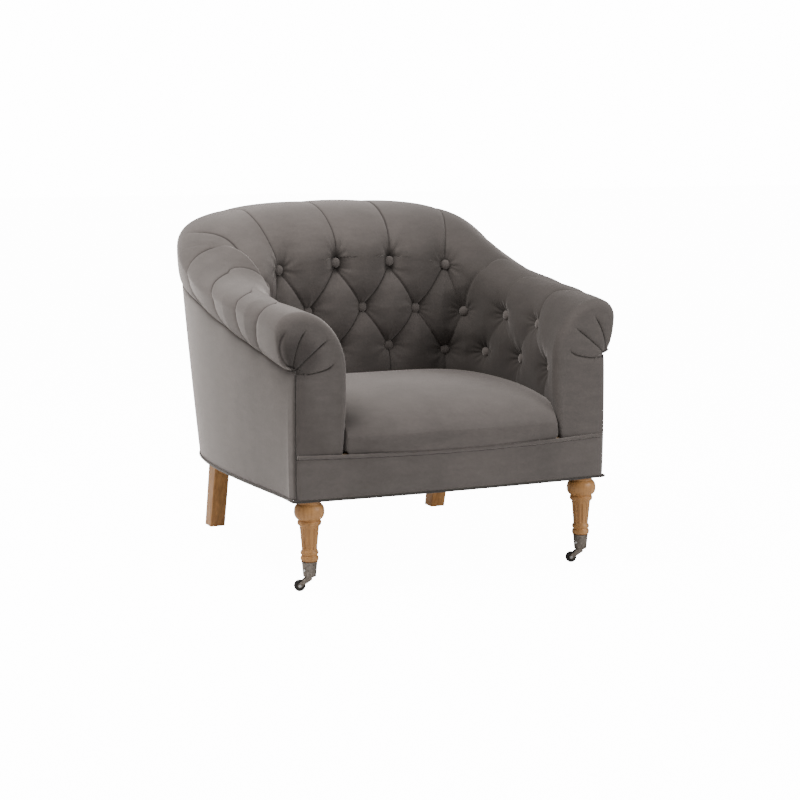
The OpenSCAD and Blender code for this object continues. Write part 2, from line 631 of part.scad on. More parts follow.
module seat_springs() color(steel) placed() for (i = [0:springs - 1])
    spring((i - (springs - 1) / 2) * spring_pitch);
clip_w = 18;
clip_l = 20;
module clip() {
    box_between([-clip_w / 2, -clip_l / 2, rail_top], [clip_w / 2, clip_l / 2, rail_top + clip_t]);
}
module spring_clips() color(steel) placed() for (i = [0:springs - 1]) {
    x = (i - (springs - 1) / 2) * spring_pitch;
    translate([x, spring_from, 0]) clip();
    translate([x, rail_y(abs(x)), 0]) clip();
}

// Front border, its welt, the welts down the front corners and round the bottom edge
border_stops = 24;
border_end = front_hw - welt_clear;
function border_top(x) = deck_z - border_welt_d - gap - dip(x);
function border_ring(x) = [
    [x, bow_y(x), body_low], [x, bow_y(x), border_top(x)],
    [x, rail_front - gap, border_top(x)], [x, rail_front - gap, body_low]];
module front_border() color(velvet) placed()
    sweep([for (i = [0:border_stops]) border_ring(border_end * (1 - 2 * i / border_stops))], 0, false);
tube_sides = 8;
function tube_ring(p, way, r) = [for (k = [0:tube_sides - 1])
    let (a = 360 * k / tube_sides)
    [p[0] + way[0] * r * cos(a), p[1] + way[1] * r * cos(a), p[2] + r * sin(a)]];
function border_welt_point(x) =
    [x, bow_y(x) + border_welt_d / 2 - border_proud, deck_z - border_welt_d / 2 - dip(x)];
module border_welt() color(velvet) placed()
    sweep([for (i = [0:border_stops]) let (x = border_end * (1 - 2 * i / border_stops))
        tube_ring(border_welt_point(x), [0, -1], border_welt_d / 2)], 0, false);
module corner_welts() color(velvet) placed() for (side = [-1, 1])
    translate([side * (front_hw - corner_welt_d / 2), corner_welt_d / 2, body_low])
        cylinder(d = corner_welt_d, h = neck_front - body_low - corner_welt_d / 2, $fn = 32);

bottom_inset = 2.5;
bottom_z = body_low - bottom_welt_d / 2 - gap;
bottom_stops = 56;
bottom_front = 12;
function foot_at(t, inset) = at(t, panel_d(t, body_low) - inset, bottom_z);
bottom_front_t = 1 + (body_cut - bottom_welt_d) / outer_run;
bottom_line = concat(
    [for (i = [0:bottom_stops]) foot_at(bottom_front_t * (1 - 2 * i / bottom_stops), bottom_inset)],
    [for (i = [0:bottom_front]) let (x = (front_hw - bottom_welt_d) * (-1 + 2 * i / bottom_front))
        [x, bow_y(x) + bottom_inset, bottom_z]]);
function line_way(line, i) = let (n = len(line), v = line[(i + 1) % n] - line[(i + n - 1) % n])
    [-v[1], v[0]] / norm([v[0], v[1]]);
module bottom_welt() color(velvet) placed()
    closed_sweep([for (i = [0:len(bottom_line) - 1])
        tube_ring(bottom_line[i], line_way(bottom_line, i), bottom_welt_d / 2)]);

// Dust cover under the frame, open where the legs pass
cover_t = 1.2;
cover_clear = 0.8;
leg_gap = 0.2;
leg_top_z = body_low - leg_gap;
cover_inset = bottom_inset + bottom_welt_d / 2 + gap * 2;
leg_neck_d = 50;
module dust_cover() color(lining_black) placed() translate([0, 0, leg_top_z - cover_t])
    linear_extrude(cover_t) difference() {
        polygon([for (i = [0:len(bottom_line) - 1]) let (w = line_way(bottom_line, i))
            [bottom_line[i][0], bottom_line[i][1]] + w * (cover_inset - bottom_inset)]);
        for (side = [-1, 1]) {
            translate([side * leg_x, leg_y]) circle(d = leg_neck_d + 2 * cover_clear, $fn = 64);
            translate([side * rear_x, rear_top_y])
                square([rear_w + 2 * cover_clear, rear_top_d + 2 * cover_clear], center = true);
        }
    }

// Turned and fluted front leg
bun_drop = 31;
bun_z = body_low - bun_drop;
bun_half = 17;
cove_d = 48;
collar_d = 52.5;
collar_drop = 62.3;
collar_low = body_low - collar_drop;
ring_d = 40;
leg_shoulder = 2.2;
leg_end_z = socket_low + socket_h + leg_shoulder;
rings_h = 22.9;
shaft_low_z = leg_end_z + rings_h;
socket_wall = 1.5;
socket_floor = 2;
stem_d = 8;
stem_up = 24;
stub_top_d = socket_top_d - 2 * socket_wall - 2 * gap;
stub_low_d = socket_low_d - 2 * socket_wall - 2 * gap;
stub_low_z = socket_low + socket_floor + gap;
collar_t = 12.3;
groove = 2;
bun_steps = 12;
leg_outline = concat(
    [[0, leg_top_z], [leg_neck_d / 2, leg_top_z], [leg_neck_d / 2, bun_z + bun_half + groove]],
    [for (i = [0:bun_steps]) let (a = 72 - 144 * i / bun_steps)
        [bun_d / 2 - bun_half + bun_half * cos(a), bun_z + bun_half * sin(a)]],
    [[cove_d / 2, collar_low + collar_t + groove],
     [cove_d / 2, collar_low + collar_t],
     [collar_d / 2, collar_low + collar_t - groove],
     [collar_d / 2, collar_low + groove],
     [shaft_top_d / 2 + groove, collar_low],
     [shaft_top_d / 2, collar_low - groove],
     [shaft_low_d / 2, shaft_low_z],
     [ring_d / 2 - groove / 2, shaft_low_z - groove],
     [ring_d / 2, shaft_low_z - 2.5 * groove],
     [ring_d / 2 - groove / 2, shaft_low_z - 4 * groove],
     [shaft_low_d / 2, shaft_low_z - 5 * groove],
     [shaft_low_d / 2, shaft_low_z - 6 * groove],
     [ring_d / 2 - groove / 2, shaft_low_z - 7 * groove],
     [ring_d / 2, shaft_low_z - 8 * groove],
     [ring_d / 2, leg_end_z + groove],
     [ring_d / 2 - groove / 2, leg_end_z],
     [stub_top_d / 2, leg_end_z],
     [stub_low_d / 2, stub_low_z],
     [0, stub_low_z]]);
flute_d = 7;
flute_rise = 6;
flute_in = 1.6;
flute_h = collar_low - shaft_low_z - groove - 2 * flute_rise;
flute_tilt = atan((shaft_top_d - shaft_low_d) / 2 / flute_h);
module front_leg(side) color(oak) placed() translate([side * leg_x, leg_y, 0]) difference() {
    rotate_extrude($fn = 96) polygon(leg_outline);
    for (i = [0:flutes - 1]) rotate([0, 0, 360 * i / flutes])
        translate([shaft_low_d / 2 + flute_in, 0, shaft_low_z + flute_rise]) rotate([0, flute_tilt, 0])
            cylinder(d = flute_d, h = flute_h, $fn = 24);
    translate([0, 0, body_low - bolt_down - gap])
        cylinder(d = bolt_d + 2 * running, h = bolt_down + over, $fn = 48);
    translate([0, 0, socket_low]) cylinder(d = stem_d + 2 * running, h = stem_up + gap, $fn = 48);
    screw_hole();
}
module front_leg_left() front_leg(-1);
module front_leg_right() front_leg(1);

// Castors: a tapered cup on the foot of the leg, a swivelling horn, and a wheel on its axle
screw_d = 3;
screw_head_d = 5.5;
screw_head_t = 1.4;
screw_z = 48;
screw_turn = 205;
screw_tip = 6.5;
cup_lip = 0.8;
function cup_r(z) = (socket_low_d + (socket_top_d - socket_low_d) * (z - socket_low) / socket_h) / 2;
module screw_hole() translate([0, 0, screw_z]) rotate([0, 90, screw_turn]) translate([0, 0, screw_tip - gap])
    cylinder(d = screw_d + 2 * running, h = socket_top_d / 2, $fn = 32);
module castor_socket(side) color(pewter) placed() translate([side * leg_x, leg_y, 0]) difference() {
    rotate_extrude($fn = 96) polygon([
        [stem_d / 2 + running, socket_low],
        [socket_low_d / 2, socket_low],
        [cup_r(socket_low + socket_h - 2 * cup_lip), socket_low + socket_h - 2 * cup_lip],
        [socket_top_d / 2 + cup_lip, socket_low + socket_h - cup_lip],
        [socket_top_d / 2 + cup_lip, socket_low + socket_h],
        [socket_top_d / 2 - socket_wall, socket_low + socket_h],
        [socket_low_d / 2 - socket_wall, socket_low + socket_floor],
        [stem_d / 2 + running, socket_low + socket_floor]]);
    screw_hole();
}
module castor_socket_left() castor_socket(-1);
module castor_socket_right() castor_socket(1);
module castor_screws() color(steel) placed() for (side = [-1, 1])
    translate([side * leg_x, leg_y, screw_z]) rotate([0, 90, screw_turn]) {
        translate([0, 0, screw_tip])
            cylinder(d = screw_d, h = cup_r(screw_z) + gap - screw_tip + over / 2, $fn = 32);
        translate([0, 0, cup_r(screw_z) + gap]) cylinder(d = screw_head_d, h = screw_head_t, $fn = 48);
    }

cheek_t = 2;
cheek_clear = 0.3;
plate_t = 2.4;
plate_d = 18;
bridge_t = 4;
axle_d = 4;
axle_head_d = 6;
axle_head_t = 1;
boss_d = 10;
axle_z = wheel_d / 2;
horn_top = socket_low - gap;
horn_half = wheel_w / 2 + cheek_clear + cheek_t;
module at_castor(side) translate([side * leg_x, leg_y, 0]) rotate([0, 0, trail_turn]) children();
module at_axle() translate([trail, 0, axle_z]) rotate([90, 0, 0]) children();
module cheek() rotate([90, 0, 0]) linear_extrude(cheek_t) difference() {
    union() {
        polygon([
            [-boss_d / 2, horn_top - plate_t * 0.75], [boss_d / 2, horn_top - plate_t * 0.75],
            [boss_d, horn_top - plate_t],
            [trail + boss_d / 2, axle_z + boss_d / 4], [trail + boss_d / 4, axle_z - boss_d * 0.4],
            [trail - boss_d * 0.4, axle_z - boss_d / 4], [-boss_d / 2, horn_top - plate_t - bridge_t * 1.2]]);
        translate([trail, axle_z]) circle(d = boss_d, $fn = 48);
    }
    translate([trail, axle_z]) circle(d = axle_d + 2 * running, $fn = 48);
}
module castor_horn(side) color(pewter) placed() at_castor(side) {
    translate([0, 0, horn_top - plate_t - bridge_t / 2])
        cylinder(d = stem_d, h = stub_low_z + stem_up - horn_top + plate_t - socket_floor, $fn = 48);
    translate([0, 0, horn_top - plate_t]) cylinder(d = plate_d, h = plate_t, $fn = 64);
    box_between([cheek_t / 2 - boss_d / 2, cheek_t / 2 - horn_half, horn_top - plate_t - bridge_t],
        [boss_d / 2 - cheek_t / 2, horn_half - cheek_t / 2, horn_top - plate_t / 2]);
    translate([0, horn_half, 0]) cheek();
    translate([0, -horn_half + cheek_t, 0]) cheek();
}
module castor_horn_left() castor_horn(-1);
module castor_horn_right() castor_horn(1);
tread_round = 1.6;
hub_d = 11;
web_in = 1.2;
module castor_wheel(side) color(lining_black) placed() at_castor(side) at_axle()
    rotate_extrude($fn = 96) polygon([
        [axle_d / 2 + running, -wheel_w / 2], [hub_d / 2, -wheel_w / 2],
        [hub_d / 2 + web_in, -wheel_w / 2 + web_in], [wheel_d / 2 - 2 * tread_round, -wheel_w / 2 + web_in],
        [wheel_d / 2 - tread_round, -wheel_w / 2], [wheel_d / 2, -wheel_w / 2 + tread_round],
        [wheel_d / 2, wheel_w / 2 - tread_round], [wheel_d / 2 - tread_round, wheel_w / 2],
        [wheel_d / 2 - 2 * tread_round, wheel_w / 2 - web_in], [hub_d / 2 + web_in, wheel_w / 2 - web_in],
        [hub_d / 2, wheel_w / 2], [axle_d / 2 + running, wheel_w / 2]]);
module castor_wheel_left() castor_wheel(-1);
module castor_wheel_right() castor_wheel(1);
module castor_axle(side) color(steel) placed() at_castor(side) at_axle() {
    long = horn_half + running;
    translate([0, 0, -long]) cylinder(d = axle_d, h = 2 * long, $fn = 48);
    for (end = [0, 1]) mirror([0, 0, end]) translate([0, 0, long])
        cylinder(d = axle_head_d, h = axle_head_t, $fn = 48);
}
module castor_axle_left() castor_axle(-1);
module castor_axle_right() castor_axle(1);

// Raked rear legs on round glides
glide_d = 22;
glide_t = 2;
module rear_leg_right() color(oak) placed() difference() {
    translate([rear_x - rear_w / 2, 0, 0]) rotate([90, 0, 90]) linear_extrude(rear_w) polygon([
        [rear_top_y - rear_top_d / 2, leg_top_z], [rear_foot_y - rear_foot_d / 2, glide_t],
        [rear_foot_y + rear_foot_d / 2, glide_t], [rear_top_y + rear_top_d / 2, leg_top_z]]);
    translate([rear_x, rear_top_y, body_low - bolt_down - gap])
        cylinder(d = bolt_d + 2 * running, h = bolt_down + over, $fn = 48);
}
module rear_leg_left() right_side() rear_leg_right();
module rear_glides() color(lining_black) placed() for (side = [-1, 1])
    translate([side * rear_x, rear_foot_y, 0]) cylinder(d = glide_d, h = glide_t, $fn = 64);

front_rail();
back_rail();
side_rail_left();
side_rail_right();
front_corner_blocks();
rear_corner_blocks();
arm_post_left();
arm_post_right();
back_post_left();
back_post_right();
arm_rail_left();
arm_rail_right();
top_rail();
seat_springs();
spring_clips();
seat_pad();
tufted_back();
tufted_arm_left();
tufted_arm_right();
buttons();
outside_arm_left();
outside_arm_right();
outside_back();
arm_facing_left();
arm_facing_right();
front_border();
border_welt();
bottom_welt();
corner_welts();
dust_cover();
front_leg_left();
front_leg_right();
rear_leg_left();
rear_leg_right();
leg_bolts();
rear_glides();
castor_socket_left();
castor_socket_right();
castor_screws();
castor_horn_left();
castor_horn_right();
castor_wheel_left();
castor_wheel_right();
castor_axle_left();
castor_axle_right();
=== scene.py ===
import math
import bmesh
import bpy
import numpy as np
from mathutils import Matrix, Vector


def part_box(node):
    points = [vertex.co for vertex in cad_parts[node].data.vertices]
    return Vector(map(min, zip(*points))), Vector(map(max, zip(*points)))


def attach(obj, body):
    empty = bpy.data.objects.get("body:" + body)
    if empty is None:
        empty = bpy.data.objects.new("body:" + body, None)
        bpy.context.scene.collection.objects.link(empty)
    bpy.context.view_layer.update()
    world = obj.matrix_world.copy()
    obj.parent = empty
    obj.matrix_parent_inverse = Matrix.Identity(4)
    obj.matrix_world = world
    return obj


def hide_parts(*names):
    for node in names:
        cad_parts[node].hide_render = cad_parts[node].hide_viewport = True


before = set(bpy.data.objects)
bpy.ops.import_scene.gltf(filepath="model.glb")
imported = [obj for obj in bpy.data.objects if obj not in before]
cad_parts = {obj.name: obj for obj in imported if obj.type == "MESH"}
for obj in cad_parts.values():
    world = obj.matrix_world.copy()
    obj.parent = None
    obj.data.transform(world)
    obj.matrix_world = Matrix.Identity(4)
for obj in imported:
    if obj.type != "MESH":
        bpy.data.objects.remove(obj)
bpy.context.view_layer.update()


class Wire:
    """One socket of a material, so that shades are worked out as plain sums."""

    def __init__(self, tree, socket=None):
        self.tree, self.socket = tree, socket

    def node(self, kind, settings, inputs, out=0):
        made = self.tree.nodes.new(kind)
        for name, value in settings.items():
            setattr(made, name, value)
        for name, value in inputs.items():
            if isinstance(value, Wire):
                self.tree.links.new(value.socket, made.inputs[name])
            else:
                made.inputs[name].default_value = value
        return Wire(self.tree, made.outputs[out])

    def sum(self, operation, *values):
        return self.node("ShaderNodeMath", {"operation": operation}, dict(enumerate(values)))

    def __add__(self, other): return self.sum("ADD", self, other)
    def __radd__(self, other): return self.sum("ADD", other, self)
    def __sub__(self, other): return self.sum("SUBTRACT", self, other)
    def __rsub__(self, other): return self.sum("SUBTRACT", other, self)
    def __mul__(self, other): return self.sum("MULTIPLY", self, other)

    def held(self, low, high):
        return self.sum("MINIMUM", self.sum("MAXIMUM", self, low), high)

    def between(self, first, second):
        """The colour first where this value is 0 and second where it is 1."""
        first, second = [c if isinstance(c, Wire) else (*c, 1) for c in (first, second)]
        return self.node("ShaderNodeMix", {"data_type": "RGBA"}, {0: self, 6: first, 7: second}, 2)

    def bump(self, strength, distance, **more):
        return self.node("ShaderNodeBump", {}, {"Strength": strength, "Distance": distance, "Height": self, **more})

    def noise(self, scale, detail, rough=0.5, stretch=(1, 1, 1)):
        """Soft noise of that many features to the metre, drawn out by the stretch."""
        place = self.node("ShaderNodeMapping", {}, {"Vector": self, "Scale": stretch})
        return self.node("ShaderNodeTexNoise", {}, {
            "Vector": place, "Scale": scale, "Detail": detail, "Roughness": rough})


def finish(name):
    """A new material, its shader and a wire that carries Object coordinates."""
    material = bpy.data.materials.new(name)
    material.use_nodes = True
    tree = material.node_tree
    place = Wire(tree).node("ShaderNodeTexCoord", {}, {}, "Object")
    return material, tree.nodes["Principled BSDF"], place


def feed(shader, **sockets):
    for name, value in sockets.items():
        socket = shader.inputs[name.replace("_", " ")]
        if isinstance(value, Wire):
            value.tree.links.new(value.socket, socket)
        else:
            socket.default_value = value


# Camera, floor and studio lights.
# A long lens stands left of the chair a little above it, over a plain white floor.
# Soft boxes stand in front on the right, high on the left, low on the left and behind.
scene = bpy.context.scene
camera_at, camera_to = Vector((-1.851, -4.225, 1.027)), Vector((0.001, -0.12, 0.364))
bpy.ops.object.camera_add(location=camera_at)
camera = bpy.context.object
camera.rotation_euler = (camera_to - camera_at).to_track_quat("-Z", "Y").to_euler()
camera.data.sensor_width = 36
camera.data.lens = 86.94
camera.data.clip_end = 60
scene.camera = camera

bpy.ops.mesh.primitive_plane_add(size=40)
floor = bpy.context.object
floor.name = "studio_floor"
floor_paint, shader, place = finish("pale_floor")
seen = place.node("ShaderNodeLightPath", {}, {}, "Is Camera Ray")
feed(shader, Base_Color=(0.8, 0.8, 0.8, 1), Roughness=1, Specular_IOR_Level=0,
     Emission_Color=(1, 1, 1, 1), Emission_Strength=seen * 14.0)
floor.data.materials.append(floor_paint)

studio = bpy.data.worlds.new("studio")
studio.use_nodes = True
backdrop = studio.node_tree
sky = Wire(backdrop)
seen = sky.node("ShaderNodeLightPath", {}, {}, "Is Camera Ray")
dim, glow = [sky.node("ShaderNodeBackground", {}, {"Color": (1, 1, 1, 1), "Strength": power}) for power in (0.3, 15.0)]
either = sky.node("ShaderNodeMixShader", {}, {0: seen, 1: dim, 2: glow})
backdrop.links.new(either.socket, backdrop.nodes["World Output"].inputs["Surface"])
scene.world = studio


def soft_box(name, place, wide, tall, watts, colour):
    bpy.ops.object.light_add(type="AREA", location=place)
    lamp = bpy.context.object
    lamp.name = name
    lamp.rotation_euler = (Vector((0, 0, 0.45)) - Vector(place)).to_track_quat("-Z", "Y").to_euler()
    lamp.data.shape = "RECTANGLE"
    lamp.data.size, lamp.data.size_y = wide, tall
    lamp.data.energy = watts
    lamp.data.color = colour


soft_box("side_box", (-2.4, 0.9, 1.0), 1.4, 1.4, 5, (1.0, 0.94, 0.92))
soft_box("back_box", (-0.3, 2.7, 2.1), 1.5, 1.2, 20, (1.0, 0.985, 0.97))
soft_box("front_box", (1.9, -2.5, 1.6), 1.6, 1.4, 42, (1.0, 1.0, 1.0))
soft_box("top_box", (-1.1, -0.2, 2.5), 1.5, 1.2, 56, (1.0, 0.985, 0.97))


# Timber frame inside the upholstery: rails, corner blocks, posts and shaped boards.
# They are planed timber, glued and screwed, and the fabric hides them.
def dress(material, *nodes):
    for node in nodes:
        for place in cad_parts[node].material_slots:
            place.material = material


def wood(name, pale, dark, grain, rough, stretch, coat):
    """Wood with soft bands along its grain and fine dark pores."""
    material, shader, place = finish(name)
    rings = place.noise(grain, 5, 0.62, stretch)
    pores = place.noise(grain, 3, 0.7, (stretch[0] * 9, stretch[1] * 9, stretch[2] * 1.4))
    bands = (rings * 2.6 - 0.8).held(0, 1)
    colour = bands.between(dark, pale)
    flecks = (pores * 5 - 2.9).held(0, 1) * 0.35
    colour = flecks.between(colour, [c * 0.72 for c in dark])
    bump = (pores + bands * 0.4).bump(0.25, 0.0006)
    feed(shader, Base_Color=colour, Roughness=rough - bands * 0.12, Normal=bump, Specular_IOR_Level=0.4,
         Coat_Weight=coat, Coat_Roughness=0.35)
    return material


dress(wood("planed_softwood", (0.62, 0.44, 0.24), (0.42, 0.26, 0.13), 7, 0.62, (6, 1, 6), 0.0),
      "front_rail", "back_rail", "front_corner_blocks", "rear_corner_blocks", "top_rail",
      *(node + side for node in ("side_rail", "arm_post", "back_post", "arm_rail") for side in ("_left", "_right")))


# Springs, clips, bolts and screws.
# The seat hangs on five wavy springs of bright drawn wire, clipped to the front and back rails.
def metal(name, colour, dark, rough, spots, worn):
    """Metal with a cloudy patina that many spots to the metre, duller where it is dark."""
    material, shader, place = finish(name)
    cloud = place.noise(spots, 4, 0.6)
    fine = place.noise(spots * 9, 2, 0.6)
    patina = ((cloud * 0.7 + fine * 0.3) * 3 - 1).held(0, 1)
    bump = (patina + fine * 0.5).bump(0.3, 0.0003)
    feed(shader, Base_Color=patina.between(dark, colour), Roughness=rough + worn - patina * worn,
         Metallic=1.0, Normal=bump)
    return material


dress(metal("drawn_steel", (0.62, 0.62, 0.62), (0.42, 0.42, 0.43), 0.3, 90, 0.2),
      "seat_springs", "spring_clips", "leg_bolts", "castor_axle_left", "castor_axle_right")
dress(metal("nickel_screws", (0.95, 0.94, 0.92), (0.8, 0.79, 0.77), 0.38, 90, 0.1), "castor_screws")


# Dust cover, stapled under the frame.
# It is black spun cloth, pressed with a pattern of small dots.
lining, shader, place = finish("spun_lining")
dots = place.node("ShaderNodeTexVoronoi", {"feature": "F1"}, {
    "Vector": place, "Scale": 420.0, "Randomness": 0.15}, "Distance")
cloud = place.noise(60, 4)
feed(shader, Base_Color=cloud.between((0.006, 0.006, 0.006), (0.022, 0.021, 0.02)),
     Roughness=0.95 - dots * 0.1, Normal=dots.bump(0.5, 0.0004), Specular_IOR_Level=0.2)
dress(lining, "dust_cover")

# Rear legs: square tapered oak, raked to the back, with softened edges.
# Each is one sawn and planed piece on a round dark glide.
oak = wood("clear_oiled_oak", (0.66, 0.335, 0.12), (0.43, 0.2, 0.062), 11, 0.48, (9, 9, 1), 0.25)
oak_edge = 0.0022


def select(*pieces):
    """Back to object mode with only these pieces selected, the first one active."""
    if bpy.context.object and bpy.context.object.mode != "OBJECT":
        bpy.ops.object.mode_set(mode="OBJECT")
    bpy.ops.object.select_all(action="DESELECT")
    for piece in pieces:
        piece.select_set(True)
        bpy.context.view_layer.objects.active = pieces[0]


def settle(piece, name, material, body="chair"):
    """Names a finished piece, puts its place into its mesh, and lets it ride on its body."""
    select(piece)
    bpy.ops.object.transform_apply()
    piece.name = piece.data.name = name
    piece.data.materials.clear()
    piece.data.materials.append(material)
    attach(piece, body)


def rear_leg(side):
    select()
    low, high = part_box("rear_leg_" + side)
    wide, half_top, half_foot = high.x - low.x, 0.026, 0.021
    bpy.ops.mesh.primitive_cube_add(size=1, location=((low.x + high.x) / 2, 0, (low.z + high.z) / 2))
    leg = bpy.context.object
    leg.scale = (wide, 1, high.z - low.z)
    bpy.ops.object.transform_apply()
    for v in leg.data.vertices:
        top, back = v.co.z > (low.z + high.z) / 2, v.co.y > 0
        centre, half = (low.y + half_top, half_top) if top else (high.y - half_foot, half_foot)
        v.co.y = centre + (half if back else -half)
    bpy.ops.object.mode_set(mode="EDIT")
    bpy.ops.mesh.select_all(action="SELECT")
    bpy.ops.mesh.subdivide(number_cuts=3)
    bpy.ops.object.mode_set(mode="OBJECT")
    edge = leg.modifiers.new("edge", "BEVEL")
    edge.width, edge.segments, edge.limit_method, edge.angle_limit = oak_edge, 4, "ANGLE", 0.5
    edge.harden_normals = False
    bpy.ops.object.modifier_apply(modifier=edge.name)
    bpy.ops.object.shade_smooth_by_angle(angle=math.radians(40))
    settle(leg, "rear_leg_%s_oak" % side, oak)
    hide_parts("rear_leg_" + side)


rear_leg("left")
rear_leg("right")
dress(metal("dark_glide", (0.05, 0.05, 0.05), (0.02, 0.02, 0.02), 0.6, 120, 0.1), "rear_glides")

# Front legs: turned oak with a full bun, a carved collar, a fluted shaft and two rings.
# The outline is turned on a lathe, then the flutes are cut with a round-nosed gouge.
leg_turning = [  # height and radius in millimetres, from the top down
    (207.8, 25), (197, 25), (194.6, 25.6), (193.4, 27.6), (191, 29.9), (187.5, 31.8), (183, 33.1), (177, 33.5),
    (171, 33), (166.5, 31.4), (163, 29), (160.6, 26.4), (159.6, 24.4), (158.6, 24), (158, 24.4), (157, 25.6),
    (155, 26.3), (151, 26.2), (148.6, 25.4), (147, 23.8), (145.8, 22.3), (144, 21.5), (139, 21.1), (133, 20.5),
    (126, 19.9), (118, 19.2), (110, 18.5), (102, 17.8), (96, 17.3), (92.4, 17.1), (91, 17.6), (89.8, 18.9),
    (88, 19.9), (86, 20.1), (84, 19.8), (82, 18.8), (81, 17.6), (80.2, 17.2), (79.2, 17.6), (78, 19),
    (76.4, 19.9), (74, 20), (70.4, 19.9), (69, 19.4), (68.3, 18.4), (68.2, 15.6), (66, 15.6), (50, 14.4), (36, 12.6)]
flute_count = 12
gouge_runs = [  # a flute of the shaft and of the collar: height and radius at each end, and the gouge's own radius
    (97, 139, 18.7, 22.7, 3.6), (147, 157, 27, 27, 1.8)]
leg_x, leg_y = 0.338, -0.392


def front_leg(side, x):
    select()
    bpy.ops.mesh.primitive_circle_add(vertices=120, radius=leg_turning[0][1] / 1000, fill_type="NGON",
                                      location=(x, leg_y, leg_turning[0][0] / 1000))
    leg = bpy.context.object
    bpy.ops.object.mode_set(mode="EDIT")
    bpy.ops.mesh.select_all(action="SELECT")
    for (z0, r0), (z1, r1) in zip(leg_turning, leg_turning[1:]):
        bpy.ops.mesh.extrude_region_move(TRANSFORM_OT_translate={"value": (0, 0, (z1 - z0) / 1000)})
        bpy.ops.transform.resize(value=(r1 / r0, r1 / r0, 1))
    bpy.ops.mesh.select_all(action="SELECT")
    bpy.ops.mesh.normals_make_consistent(inside=False)
    bpy.ops.object.mode_set(mode="OBJECT")
    bpy.ops.object.transform_apply()
    gouges = []
    for i in range(flute_count):
        turn = 2 * math.pi * i / flute_count + math.radians(6)
        for low, high, r_low, r_high, thick in gouge_runs:
            bpy.ops.mesh.primitive_uv_sphere_add(segments=16, ring_count=8, radius=thick / 1000)
            gouge = bpy.context.object
            for v in gouge.data.vertices:
                up = v.co.z > 0
                height = (high if up else low) / 1000 + v.co.z
                reach = (r_high if up else r_low) / 1000 + v.co.x
                v.co = (reach * math.cos(turn) - v.co.y * math.sin(turn) + x,
                        reach * math.sin(turn) + v.co.y * math.cos(turn) + leg_y, height)
            gouges.append(gouge)
    select(*gouges)
    bpy.ops.object.join()
    cutter = bpy.context.object
    select(leg)
    cut = leg.modifiers.new("flutes", "BOOLEAN")
    cut.operation, cut.object, cut.solver = "DIFFERENCE", cutter, "EXACT"
    bpy.ops.object.modifier_apply(modifier=cut.name)
    bpy.data.objects.remove(cutter)
    bpy.ops.object.shade_smooth_by_angle(angle=math.radians(32))
    settle(leg, "front_leg_%s_turned" % side, oak)
    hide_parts("front_leg_" + side)


front_leg("left", -leg_x)
front_leg("right", leg_x)

# Castors: a tapered cup, a swivelling horn with two cheeks, and a wheel with a dark tread.
# The cups and horns are cast and have an aged pewter finish, and each cup is held by one screw.
dress(metal("aged_pewter", (0.38, 0.33, 0.285), (0.15, 0.128, 0.108), 0.36, 130, 0.28),
      "castor_socket_left", "castor_socket_right", "castor_horn_left", "castor_horn_right")
tread, shader, place = finish("dark_tread")
dust = place.noise(300, 4)
feed(shader, Base_Color=dust.between((0.008, 0.007, 0.006), (0.05, 0.043, 0.037)),
     Roughness=0.4 + dust * 0.25)
dress(tread, "castor_wheel_left", "castor_wheel_right")

# The line of the upholstered tub: padding between an inside line and an outside line in plan.
# Both run from the middle of the back round to the padded front of each arm.
# Sizes here are in millimetres from the front of the arms and the floor.
middle = 420  # the frame's origin
arm_front = 25.3  # where the padding ends and the arms' padded fronts begin
inner_plan, inner_back = (262, 300, 300), 505  # half widths at the front and at the widest, how far back that is
outer_plan, outer_back = (380, 428, 440), 850
front_half = 380
deck, body_low, cloth_low = 306.3, 208, 206.5  # heights of the seat's deck, the frame's foot and its cloth
crest_front, crest_rise, crest_back = 614, 52, 819
neck_front, neck_back = 489, 662
face_rise, face_power = 130, 1.9  # the top of the inside face curves back over this height
spacing, row_gap = 145.0, 98.0  # of the buttons, along the inside line and up it
back_seam, panel_seam, seam_lap = 2.25, 1.75, 0.05  # in spacings from the middle of the back


def plan_side(front, side, side_at, y):
    """Half the width at y, of a plan line that curves out from the front to its widest."""
    return front + (side - front) * (1 - (1 - y / side_at) ** 2)


def run_along(points):
    """How far along a line of points each one is."""
    return np.concatenate([[0], np.cumsum(np.linalg.norm(np.diff(points, axis=0), axis=1))])


def half_line(front, side, side_at, back_at):
    """A plan line from the back's middle to the arm's front: points, shares of the way, and length."""
    a = np.radians(90) * np.linspace(0, 1, 900) ** 4
    y = side_at + (arm_front - side_at) * np.linspace(0, 1, 400)[1:]
    points = np.concatenate([
        np.stack([side * np.sin(a) ** 0.25, side_at + (back_at - side_at) * np.cos(a)], 1),
        np.stack([plan_side(front, side, side_at, y), y], 1)])
    run = run_along(points)
    return points, run / run[-1], run[-1]


inside = half_line(*inner_plan, inner_back)
outside = half_line(*outer_plan, outer_back)
arm_end = inside[2] / spacing


def on_line(line, t):
    points, run, _ = line
    a = np.abs(t)
    x = np.where(t < 0, -1, 1) * np.interp(a, run, points[:, 0])
    return np.stack([x, np.interp(a, run, points[:, 1])], -1)


def outwards(t):
    """The inside line's point at station t, and the way from it to the outside line."""
    start = on_line(inside, t)
    way = on_line(outside, t) - start
    return start, way / np.linalg.norm(way, axis=-1, keepdims=True)


def tub_point(t, d, z):
    """A point at station t, d millimetres outwards from the inside line, and z high."""
    start, way = outwards(t)
    flat = start + way * d[..., None]
    return np.stack([flat[..., 0], flat[..., 1], z], -1)


def tub_width(t):
    return np.linalg.norm(on_line(outside, t) - on_line(inside, t), axis=-1)


def crest_height(t):
    s = np.minimum(1, np.abs(t))
    shoulder = (crest_back - crest_front - crest_rise) / (1 + np.exp((s - 0.43) / 0.075))
    return crest_front + crest_rise * (1 - s * s) + shoulder


